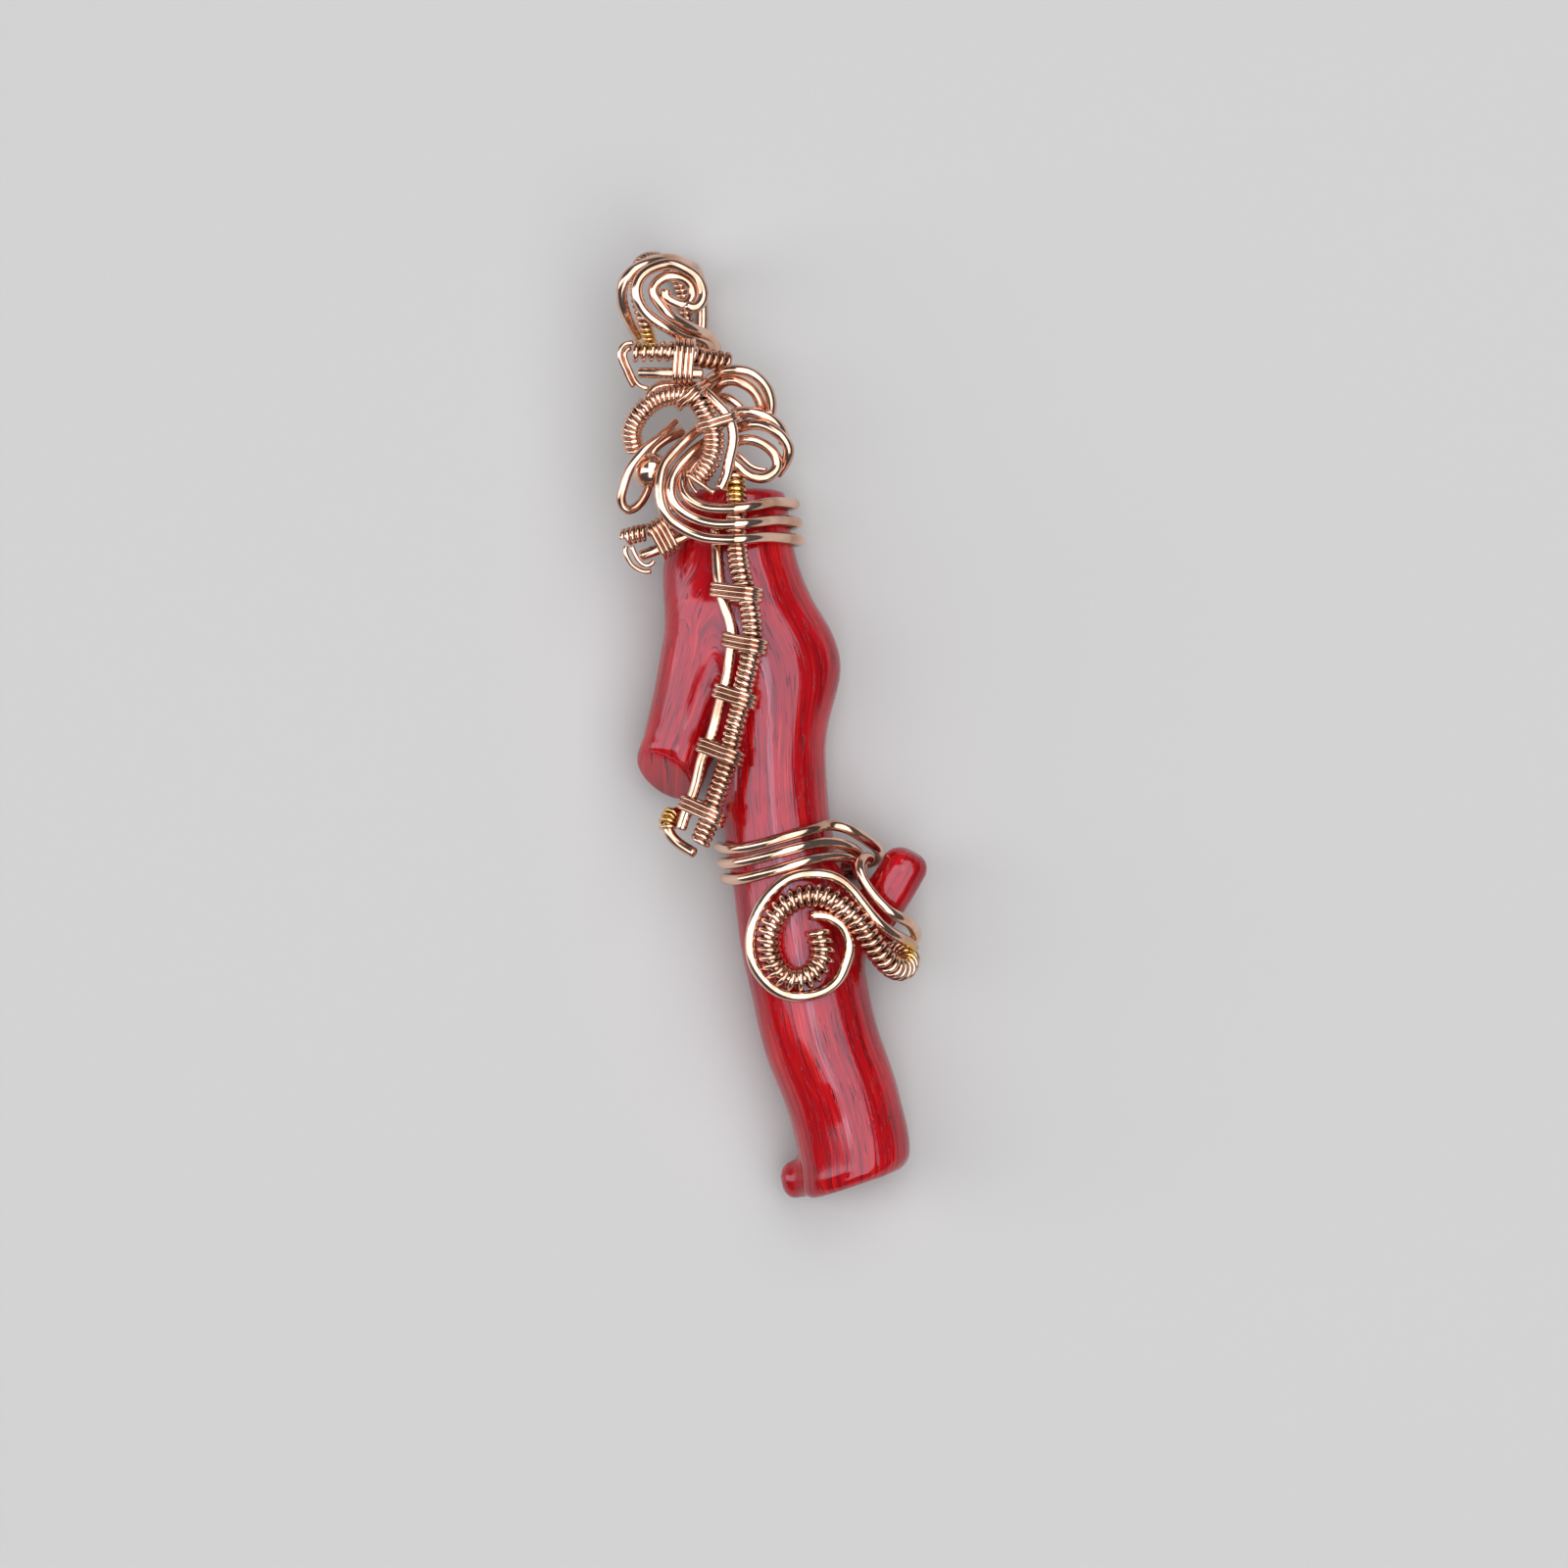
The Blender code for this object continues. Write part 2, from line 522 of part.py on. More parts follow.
# Wires round the waist of the coral and round the root of the side stub
waistTurns = [
    [(-75, -9.9), (-105, -9.9), (-135, -9.9), (-165, -9.8), (172, -9.7), (150, -9.85),
     (125, -9.75), (100, -9.3), (75, -8.7), (50, -8.2), (30, -7.95)],
    [(5.95, -8.25, 6.9), (7.1, -8.9, 6.1), (8.25, -9.75, 5.0), (8.6, -10.5, 3.6),
     (7.9, -11.0, 2.2), (6.4, -11.1, 1.0)],
    [(-65, -11.0), (-90, -10.9), (-115, -10.95), (-140, -11.0), (-167, -11.05), (170, -11.05),
     (148, -11.05), (122, -10.75), (97, -10.25), (72, -9.7), (48, -9.35)],
    [(5.9, -9.65, 7.2), (6.75, -10.2, 6.1), (7.1, -10.95, 4.9), (7.0, -11.7, 3.3), (6.2, -12.1, 1.5)],
    [(-70, -12.2), (-95, -12.1), (-120, -12.15), (-145, -12.25), (-170, -12.3), (165, -12.3),
     (140, -12.3), (115, -11.9), (90, -11.35), (65, -10.75), (42, -10.5)],
    [(6.2, -10.75, 6.9), (6.65, -11.35, 6.0), (6.8, -11.95, 5.0)],
]
stubWire = [
    (7.75, -10.7, 6.5), (7.25, -10.65, 7.8), (6.9, -11.3, 8.7), (7.3, -12.55, 9.1),
    (8.15, -13.75, 9.2), (9.2, -14.8, 9.2), (10.1, -15.35, 8.6), (10.95, -15.9, 7.2),
    (11.45, -16.65, 5.6), (11.35, -17.3, 4.0), (10.7, -17.45, 2.6), (9.45, -17.3, 1.5),
    (8.0, -17.05, 0.8), (6.25, -16.9, 0.45), (4.4, -16.8, 0.4),
]

# The swirl on the lower front: a plain wire and a coiled one
swirlHeight = 10.05
swirlWireIn = [
    (11.3, -17.9, 6.2), (10.95, -17.5, 7.0), (10.25, -17.05, 8.0), (9.2, -16.4, 9.1), (7.9, -15.2, 9.9),
]
swirlWireTurn = [
    (7.0, -14.1), (5.7, -12.65), (4.3, -11.95), (3.05, -11.85), (1.45, -12.1), (0.0, -13.05),
    (-1.1, -14.5), (-1.75, -16.15), (-1.9, -17.9), (-1.6, -19.2), (-0.8, -20.4), (0.4, -21.35),
    (1.95, -21.7), (3.5, -21.45), (4.55, -20.9), (5.35, -20.0), (5.85, -18.8), (6.1, -17.7),
    (5.9, -16.85), (5.45, -16.05), (4.7, -15.5), (3.85, -15.2), (2.95, -15.2),
]
swirlCoilIn = [
    (9.3, -18.5, 2.7), (9.9, -18.35, 3.3), (10.5, -18.4, 4.2), (10.8, -18.8, 5.2),
    (10.55, -19.45, 6.5), (9.9, -19.5, 7.6), (9.2, -19.05, 8.6), (8.3, -18.0, 9.4), (7.45, -16.7, 9.9),
]
swirlCoilTurn = [
    (6.6, -15.5), (5.75, -14.8), (5.0, -14.1), (3.7, -13.6), (2.35, -13.7), (1.05, -14.3),
    (0.1, -15.35), (-0.4, -16.7), (-0.4, -18.1), (0.0, -19.2), (0.9, -20.15), (2.1, -20.3),
    (3.15, -19.75), (3.85, -18.7), (3.85, -17.5), (3.5, -16.4),
]

# Bindings of the strand: (anchor, slant of the turns in degrees)
strandBindings = [
    ((-3.35, 10.7), -5), ((-2.6, 6.6), -9), ((-3.2, 2.4), -15), ((-4.5, -2.0), -18), ((-6.0, -6.7), -22),
]


def waistRoute():
    points = []
    for k, part in enumerate(waistTurns):
        points += part if k % 2 else around(part, thickWire / 2 + 1.5 * touchGap)
    return points


def flat(places, height):
    return [(x, y, height) for x, y in places]


def makeSweeps(copper, whole):
    lift = thickWire / 2 + 1.5 * touchGap
    outer = sweepOuter + around([(a, 15.2 - k * 0.07) for k, a in enumerate(behindCrown)], lift)
    middle = sweepMiddle + around([(a, 16.6 - k * 0.06) for k, a in enumerate(behindCrown)], lift)
    inner = sweepInner + around([(a, 18.05 - k * 0.03) for k, a in enumerate(behindCrown)], lift)
    wire("sweep_wire_outer", outer, thickWire, copper, whole)
    wire("sweep_wire_middle", middle, thickWire, copper, whole)
    wire("sweep_wire_inner", inner, thickWire, copper, whole)
    wire("sweep_fine_wire", sweepFine, fineWire, copper, whole, 1.0)


def makeTop(copper, whole):
    coil("arc_coil", arcCoil, coilOuter, copper, whole)
    wire("arc_wire", arcWire, thickWire, copper, whole)
    wire("arc_tail", arcTail, fineWire, copper, whole, 1.0)
    held = [(arcCoil, coilOuter / 2), (arcWire, thickWire / 2)]
    binding("arc_binding_upper", held, (-6.4, 26.9), 45, 2, copper, whole, 0.22)
    binding("arc_binding_lower", held, (-4.4, 24.5), 20, 2, copper, whole)
    wire("petal_one_outer", petalOneOuter, thickWire, copper, whole, 1.1)
    wire("petal_one_inner", petalOneInner, thickWire, copper, whole, 1.1)
    wire("petal_one_back", petalOneBack, thickWire, copper, whole, 1.1)
    wire("petal_two_outer", petalTwoOuter, thickWire, copper, whole, 1.1)
    wire("petal_two_inner", petalTwoInner, thickWire, copper, whole, 1.1)
    wire("petal_teardrop", petalTeardrop, thickWire, copper, whole, 1.0)
    wire("petal_fine_wire", petalFine, fineWire, copper, whole, 1.0)
    makeBead(copper, whole)
    wire("bead_wire", beadWire, mediumWire, copper, whole, 1.1)


def makeBail(copper, whole):
    coil("top_bar_coil", topBarCoil, coilOuter, copper, whole)
    wire("top_bar_wire", topBarWire, thickWire, copper, whole)
    held = [(topBarCoil, coilOuter / 2), (topBarWire, thickWire / 2)]
    binding("top_bar_binding_left", held, (-7.7, 29.2), 88, 2, copper, whole)
    binding("top_bar_binding_right", held, (-6.85, 29.1), 88, 2, copper, whole)
    wire("top_bar_loop_outer", topLoopOuter, fineWire, copper, whole, 0.9)
    wire("top_bar_loop_inner", topLoopInner, fineWire, copper, whole, 0.8)
    coil("bail_coil", bailCoil, bailCoilOuter, copper, whole, 6)
    wire("bail_side_wire", bailSide, thickWire, copper, whole, 1.3)
    wire("bail_swirl_outer", bailSwirlOuter, thickWire, copper, whole, 1.0)
    wire("bail_swirl_inner", bailSwirlInner, thickWire, copper, whole, 0.9)


def makeStrand(copper, whole):
    high = coilOuter / 2 + fineWire + 0.3
    coilRoute = strandCoilTop + onFront(strandCoilFront, high) + strandCoilFoot
    wireRoute = onFront(strandWireTop[:2], thickWire / 2 + 0.1)
    wireRoute += onFront(strandWireTop[2:], thickWire / 2 + fineWire + 0.1) + strandWireFoot
    coil("strand_coil", coilRoute, coilOuter, copper, whole)
    wire("strand_wire", wireRoute, thickWire, copper, whole)
    wire("strand_end", strandEnd, thickWire, copper, whole, 0.9)
    held = [(coilRoute, coilOuter / 2), (wireRoute, thickWire / 2)]
    for k, (anchor, slant) in enumerate(strandBindings):
        binding(f"strand_binding_{k + 1}", held, anchor, slant, 3, copper, whole, 0.15)


def makeSideBar(copper, whole):
    coil("side_bar_coil", sideBarCoil, sideCoilOuter, copper, whole)
    wire("side_bar_wire_upper", sideBarUpper, thickWire, copper, whole)
    wire("side_bar_wire_lower", sideBarLower, thickWire, copper, whole)
    held = [(route, thickWire / 2) for route in (sideBarUpper, sideBarLower)]
    binding("side_bar_wrap", held, (-8.75, 15.3), -58, 3, copper, whole, 0.2)
    wire("side_bar_loop_outer", sideLoopOuter, fineWire, copper, whole, 0.8)
    wire("side_bar_loop_inner", sideLoopInner, fineWire, copper, whole, 0.8)


def makeWaist(copper, whole):
    wire("waist_wire", waistRoute(), thickWire, copper, whole)
    wire("stub_wire", stubWire, thickWire, copper, whole, 1.3)
    swirl = swirlWireIn + flat(swirlWireTurn, swirlHeight)
    wire("swirl_wire", swirl, thickWire, copper, whole, 1.3)
    coil("swirl_coil", swirlCoilIn + flat(swirlCoilTurn, swirlHeight), coilOuter, copper, whole)


def settle(whole):
    # Puts the middle of the pendant's box over the origin and its lowest point on the floor
    bpy.context.view_layer.update()
    graph = bpy.context.evaluated_depsgraph_get()
    corners = []
    for thing in whole.children:
        if thing.hide_render:
            continue
        mesh = thing.evaluated_get(graph).to_mesh()
        corners += [thing.matrix_world @ v.co for v in mesh.vertices]
        thing.evaluated_get(graph).to_mesh_clear()
    spots = np.array(corners)
    low, high = spots.min(axis=0), spots.max(axis=0)
    whole.location = (-(low[0] + high[0]) / 2, -(low[1] + high[1]) / 2, -low[2])


def main():
    for thing in list(bpy.data.objects):
        bpy.data.objects.remove(thing, do_unlink=True)
    whole = bpy.data.objects.new("pendant", None)
    bpy.context.scene.collection.objects.link(whole)
    coral = material("red_coral", (0.42, 0.006, 0.012), 0.18, 0.0)
    copper = material("rose_copper_wire", (0.87, 0.52, 0.38), 0.2, 1.0)
    makeCoral(coral, whole)
    makeSweeps(copper, whole)
    makeTop(copper, whole)
    makeBail(copper, whole)
    makeStrand(copper, whole)
    makeSideBar(copper, whole)
    makeWaist(copper, whole)
    settle(whole)


main()
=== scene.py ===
import math

import bmesh
import bpy
import numpy as np
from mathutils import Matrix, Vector, noise


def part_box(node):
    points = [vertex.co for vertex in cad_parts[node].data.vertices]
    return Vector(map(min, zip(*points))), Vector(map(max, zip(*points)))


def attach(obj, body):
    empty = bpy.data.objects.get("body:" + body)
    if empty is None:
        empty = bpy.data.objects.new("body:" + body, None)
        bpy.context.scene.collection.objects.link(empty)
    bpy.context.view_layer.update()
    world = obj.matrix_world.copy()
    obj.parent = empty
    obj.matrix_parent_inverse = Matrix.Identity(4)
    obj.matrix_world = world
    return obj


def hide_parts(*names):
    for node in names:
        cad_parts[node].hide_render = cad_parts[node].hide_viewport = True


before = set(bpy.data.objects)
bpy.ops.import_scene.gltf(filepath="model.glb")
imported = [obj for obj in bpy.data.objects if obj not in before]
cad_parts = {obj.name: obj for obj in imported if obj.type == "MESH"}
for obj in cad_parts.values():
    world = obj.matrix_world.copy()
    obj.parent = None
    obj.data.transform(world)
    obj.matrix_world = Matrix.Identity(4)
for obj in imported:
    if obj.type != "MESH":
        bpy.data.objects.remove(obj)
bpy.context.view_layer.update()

# Red coral branch wrapped in rose copper wire, lying on its back. Lengths are in millimetres on the
# pendant's own page: x to the right, y towards the bail, z up from the floor.
mm = 0.001
beadCentre = (-10.0, 20.65, 7.4)
beadBox = np.array([list(corner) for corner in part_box("copper_bead")])
shift = beadBox.mean(axis=0) / mm - np.array(beadCentre)   # from the page to the frame
thickWire = 0.9      # the plain wire
mediumWire = 0.78    # the wire of the bead
fineWire = 0.42      # the wire of the coils, the bindings and the small loops
wireSides = 14
fineSides = 10
wireStep = 0.25      # between two places along a wire
endBevel = 0.2       # at a wire's ends, as a share of its radius
sharpAngle = 50      # degrees; edges that are sharper stay sharp
seat = 0.52          # from the coral's skin to the middle of a wire that lies on it
print("page to frame, mm:", [round(float(v), 3) for v in shift])


# Curves and tubes

def splineThrough(knots, values):
    # natural cubic curve through values at the given knots
    knots = np.asarray(knots, float)
    values = np.asarray(values, float)
    count = len(knots)
    gaps = np.diff(knots)
    matrix = np.eye(count)
    bends = np.zeros_like(values)
    for i in range(1, count - 1):
        matrix[i, i - 1] = gaps[i - 1]
        matrix[i, i] = 2 * (gaps[i - 1] + gaps[i])
        matrix[i, i + 1] = gaps[i]
        bends[i] = 6 * ((values[i + 1] - values[i]) / gaps[i] - (values[i] - values[i - 1]) / gaps[i - 1])
    curvature = np.linalg.solve(matrix, bends)

    def at(where):
        where = np.atleast_1d(np.asarray(where, float))
        i = np.clip(np.searchsorted(knots, where) - 1, 0, count - 2)
        h = gaps[i][:, None]
        left = (knots[i + 1] - where)[:, None]
        right = (where - knots[i])[:, None]
        result = curvature[i] * left ** 3 / (6 * h) + curvature[i + 1] * right ** 3 / (6 * h)
        result += (values[i] / h - curvature[i] * h / 6) * left
        result += (values[i + 1] / h - curvature[i + 1] * h / 6) * right
        return result

    return at


def smoothRoute(points, step):
    # evenly spaced places on a smooth curve through the points
    points = np.array(points, float)
    chords = np.linalg.norm(np.diff(points, axis=0), axis=1)
    knots = np.concatenate(([0.0], np.cumsum(chords)))
    fine = splineThrough(knots, points)(np.linspace(0, knots[-1], 40 * len(points)))
    return evenly(fine, step)


def evenly(path, step):
    lengths = np.concatenate(([0.0], np.cumsum(np.linalg.norm(np.diff(path, axis=0), axis=1))))
    count = max(3, int(round(lengths[-1] / step)) + 1)
    wanted = np.linspace(0, lengths[-1], count)
    return np.column_stack([np.interp(wanted, lengths, path[:, k]) for k in range(path.shape[1])])


def framesAlong(path):
    # forward, side and up at every place of a path, without twist
    forward = np.gradient(path, axis=0)
    forward /= np.linalg.norm(forward, axis=1)[:, None]
    side = np.empty_like(path)
    start = np.cross(forward[0], (0.0, 0.0, 1.0))
    if np.linalg.norm(start) < 0.1:
        start = np.cross(forward[0], (1.0, 0.0, 0.0))
    side[0] = start / np.linalg.norm(start)
    for i in range(1, len(path)):
        s = side[i - 1] - forward[i] * side[i - 1].dot(forward[i])
        side[i] = s / np.linalg.norm(s)
    return forward, side, np.cross(side, forward)


def tube(path, thick, sides):
    # vertices and faces of a round wire; its ends are cut square with a small bevel
    radius = thick / 2
    bevel = endBevel * radius
    forward, side, up = framesAlong(path)
    path = np.vstack([path[0], path[0] + forward[0] * bevel, path[1:-1],
                      path[-1] - forward[-1] * bevel, path[-1]])
    side = np.vstack([side[0], side, side[-1]])
    up = np.vstack([up[0], up, up[-1]])
    radii = np.full(len(path), radius)
    radii[0] = radii[-1] = radius - bevel
    angles = np.linspace(0, 2 * np.pi, sides, endpoint=False)
    ring = side[:, None, :] * np.cos(angles)[None, :, None] + up[:, None, :] * np.sin(angles)[None, :, None]
    verts = (path[:, None, :] + ring * radii[:, None, None]).reshape(-1, 3)
    faces = []
    last = (len(path) - 1) * sides
    for a in range(0, last, sides):
        b = a + sides
        for k in range(sides):
            n = (k + 1) % sides
            faces.append((a + k, a + n, b + n, b + k))
    faces.append(tuple(range(sides))[::-1])
    faces.append(tuple(range(last, last + sides)))
    return verts, faces


winding = {
    "lineStep": 0.1,     # between two places along the line that a coil follows
    "coreStep": 0.3,
    "perTurn": 18,       # places on each turn
    "sides": 8,
    "coreSides": 10,
    "sway": 0.07,        # hand winding leaves the turns a little uneven
    "swayRate": 0.31,
}


def helix(line, reach, pitch, s=winding):
    # a winding round a line, reach from it
    centre = evenly(line, pitch / s["perTurn"])
    forward, side, up = framesAlong(centre)
    turns = np.arange(len(centre)) / s["perTurn"]
    angle = 2 * np.pi * turns
    path = centre + reach * (np.cos(angle)[:, None] * side + np.sin(angle)[:, None] * up)
    sway = np.array([noise.noise(Vector((t * s["swayRate"], reach * 7, 1.7))) for t in turns])
    return path + forward * (sway * s["sway"])[:, None]


def toMesh(name, parts, tones):
    # one mesh in metres from several (verts, faces) parts; tones holds a value for each vertex of a part
    verts, faces, start = [], [], 0
    for partVerts, partFaces in parts:
        verts.append(partVerts)
        faces += [tuple(v + start for v in face) for face in partFaces]
        start += len(partVerts)
    spots = (np.vstack(verts) + shift) * mm
    mesh = bpy.data.meshes.new(name)
    mesh.from_pydata(spots.tolist(), [], faces)
    mesh.validate()
    mesh.attributes.new("tone", "FLOAT", "POINT").data.foreach_set("value", np.concatenate(tones))
    mesh.shade_smooth()
    mesh.set_sharp_from_angle(angle=math.radians(sharpAngle))
    return mesh


def addPiece(name, mesh, finish, nodes):
    piece = bpy.data.objects.new(name, mesh)
    bpy.context.scene.collection.objects.link(piece)
    mesh.materials.append(finish)
    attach(piece, "root")
    if nodes:
        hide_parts(*nodes)


# Finishes

def newMaterial(name):
    made = bpy.data.materials.new(name)
    made.use_nodes = True
    return made, made.node_tree, made.node_tree.nodes["Principled BSDF"]


def node(tree, kind, values=None, **settings):
    made = tree.nodes.new(kind)
    for key, value in settings.items():
        setattr(made, key, value)
    for key, value in (values or {}).items():
        made.inputs[key].default_value = value
    return made


def ramp(tree, source, stops):
    made = tree.nodes.new("ShaderNodeValToRGB")
    bar = made.color_ramp
    while len(bar.elements) < len(stops):
        bar.elements.new(0.5)
    for element, (where, shade) in zip(bar.elements, stops):
        element.position = where
        element.color = (*shade, 1) if isinstance(shade, tuple) else (shade, shade, shade, 1)
    tree.links.new(source, made.inputs["Fac"])
    return made.outputs["Color"]


def mixColour(tree, factor, first, second, how="MIX"):
    made = tree.nodes.new("ShaderNodeMix")
    made.data_type = "RGBA"
    made.blend_type = how
    # socket 0 is the factor, 6 and 7 are the two colours
    for socket, value in ((made.inputs[0], factor), (made.inputs[6], first), (made.inputs[7], second)):
        if isinstance(value, bpy.types.NodeSocket):
            tree.links.new(value, socket)
        elif isinstance(value, tuple):
            socket.default_value = (*value, 1)
        else:
            socket.default_value = value
    return made.outputs[2]


def stretchedNoise(tree, source, scale, detail=3.0, distortion=0.0):
    # noise drawn out along the grain: scale holds one value for each axis
    mapping = node(tree, "ShaderNodeMapping", {"Scale": scale})
    tree.links.new(source, mapping.inputs["Vector"])
    made = node(tree, "ShaderNodeTexNoise", {"Scale": 1.0, "Detail": detail, "Distortion": distortion})
    tree.links.new(mapping.outputs["Vector"], made.inputs["Vector"])
    return made.outputs["Fac"]


coralFinish = {
    "deepRed": (0.30, 0.001, 0.003),
    "red": (0.52, 0.002, 0.006),
    "warmRed": (0.70, 0.014, 0.008),
    "groove": (0.09, 0.001, 0.003),
    "roughness": (0.07, 0.15),
    "bump": 0.00003,
    "specular": 0.75,
    "shine": (0.6, 0.82, 1.0, 1.0),         # the polish shines a cool mauve
    # how fast each pattern changes: round the branch, along it and the third axis
    "lines": (2.6, 0.10, 1.0),
    "fineLines": (6.5, 0.22, 1.0),
    "marks": (7.5, 0.42, 3.0),
    "growth": (1.5, 0.05, 1.0),
    "clouds": (180.0, 140.0, 180.0),        # in x, y and z
}


def makeCoralFinish(s=coralFinish):
    made, tree, shader = newMaterial("polished_red_coral")
    grain = node(tree, "ShaderNodeAttribute", attribute_name="grain").outputs["Vector"]
    place = node(tree, "ShaderNodeTexCoord").outputs["Object"]
    lines = stretchedNoise(tree, grain, s["lines"], 3.0, 0.35)
    fineLines = stretchedNoise(tree, grain, s["fineLines"], 2.0, 0.2)
    streaks = stretchedNoise(tree, grain, s["marks"], 1.0)
    clouds = stretchedNoise(tree, place, s["clouds"], 3.0)
    body = ramp(tree, lines, [(0.36, s["deepRed"]), (0.48, s["red"]), (0.6, s["red"]), (0.67, s["warmRed"])])
    fineShade = ramp(tree, fineLines, [(0.36, 0.7), (0.46, 1.0)])
    body = mixColour(tree, 1.0, body, fineShade, "MULTIPLY")
    growth = stretchedNoise(tree, grain, s["growth"], 1.0, 0.25)
    growthLines = ramp(tree, growth, [
        (0.455, 0.0), (0.465, 0.8), (0.475, 0.0),
        (0.53, 0.0), (0.54, 0.8), (0.55, 0.0),
    ])
    body = mixColour(tree, growthLines, body, s["warmRed"])
    cloudShade = ramp(tree, clouds, [(0.35, 0.72), (0.65, 1.0)])
    body = mixColour(tree, 1.0, body, cloudShade, "MULTIPLY")
    marks = ramp(tree, streaks, [(0.66, 0.0), (0.69, 1.0)])
    body = mixColour(tree, marks, body, s["groove"])
    tree.links.new(body, shader.inputs["Base Color"])
    low, high = s["roughness"]
    rough = ramp(tree, fineLines, [(0.3, high), (0.6, low)])
    tree.links.new(rough, shader.inputs["Roughness"])
    relief = mixColour(tree, 0.45, ramp(tree, lines, [(0.3, 0.0), (0.7, 1.0)]), fineShade)
    relief = mixColour(tree, marks, relief, (0.0, 0.0, 0.0))
    bump = node(tree, "ShaderNodeBump", {"Strength": 0.55, "Distance": s["bump"]})
    tree.links.new(relief, bump.inputs["Height"])
    tree.links.new(bump.outputs["Normal"], shader.inputs["Normal"])
    shader.inputs["IOR"].default_value = 1.5
    shader.inputs["Specular IOR Level"].default_value = s["specular"]
    shader.inputs["Specular Tint"].default_value = s["shine"]
    return made


copperFinish = {
    "rose": (0.87, 0.58, 0.45),
    "deep": (0.55, 0.30, 0.20),
    "gold": (0.80, 0.52, 0.17),
    "roughness": (0.10, 0.22),
    "bump": 0.000008,
    "patches": (420.0, 420.0, 420.0),
    "scuffs": (2600.0, 2600.0, 2600.0),
}


def makeCopperFinish(s=copperFinish):
    made, tree, shader = newMaterial("rose_copper")
    tone = node(tree, "ShaderNodeAttribute", attribute_name="tone").outputs["Fac"]
    place = node(tree, "ShaderNodeTexCoord").outputs["Object"]
    patches = stretchedNoise(tree, place, s["patches"], 3.0)
    scuffs = stretchedNoise(tree, place, s["scuffs"], 2.0)
    body = ramp(tree, patches, [(0.3, s["deep"]), (0.56, s["rose"])])
    body = mixColour(tree, tone, body, s["gold"])
    tree.links.new(body, shader.inputs["Base Color"])
    low, high = s["roughness"]
    tree.links.new(ramp(tree, scuffs, [(0.35, low), (0.75, high)]), shader.inputs["Roughness"])
    bump = node(tree, "ShaderNodeBump", {"Strength": 0.35, "Distance": s["bump"]})
    tree.links.new(scuffs, bump.inputs["Height"])
    tree.links.new(bump.outputs["Normal"], shader.inputs["Normal"])
    shader.inputs["Metallic"].default_value = 1.0
    return made


coralMaterial = makeCoralFinish()
copperMaterial = makeCopperFinish()
golden = {
    # a few turns are more golden than the rest: x, y, radius
    "spots": [(-10.1, 31.1, 0.9), (-3.0, 19.0, 0.9), (-8.8, -7.0, 1.1), (10.8, -18.2, 0.8)],
    "fadesAt": 1.4,      # in radii
    "most": 0.85,
}


def toneAt(spots, s=golden):
    # how golden the copper is at each vertex
    tone = np.zeros(len(spots))
    for x, y, radius in s["spots"]:
        away = np.hypot(spots[:, 0] - x, spots[:, 1] - y) / radius
        tone = np.maximum(tone, np.clip(s["fadesAt"] - away, 0, s["most"]))
    return tone


def addCopper(name, nodes, parts):
    mesh = toMesh(name, parts, [toneAt(verts) for verts, faces in parts])
    addPiece(name, mesh, copperMaterial, nodes)


def addWire(name, nodes, points, thick=thickWire):
    sides = fineSides if thick == fineWire else wireSides
    addCopper(name, nodes, [tube(smoothRoute(points, wireStep), thick, sides)])


def addCoil(name, nodes, points, outer, core, pitch, wire=fineWire, s=winding):
    # a core wire with a close winding of fine wire on it
    line = smoothRoute(points, s["lineStep"])
    turns = tube(helix(line, (outer - wire) / 2, pitch), wire, s["sides"])
    inside = tube(evenly(line, s["coreStep"]), min(core, outer - 2 * wire), s["coreSides"])
    addCopper(name, nodes, [turns, inside])


# The coral

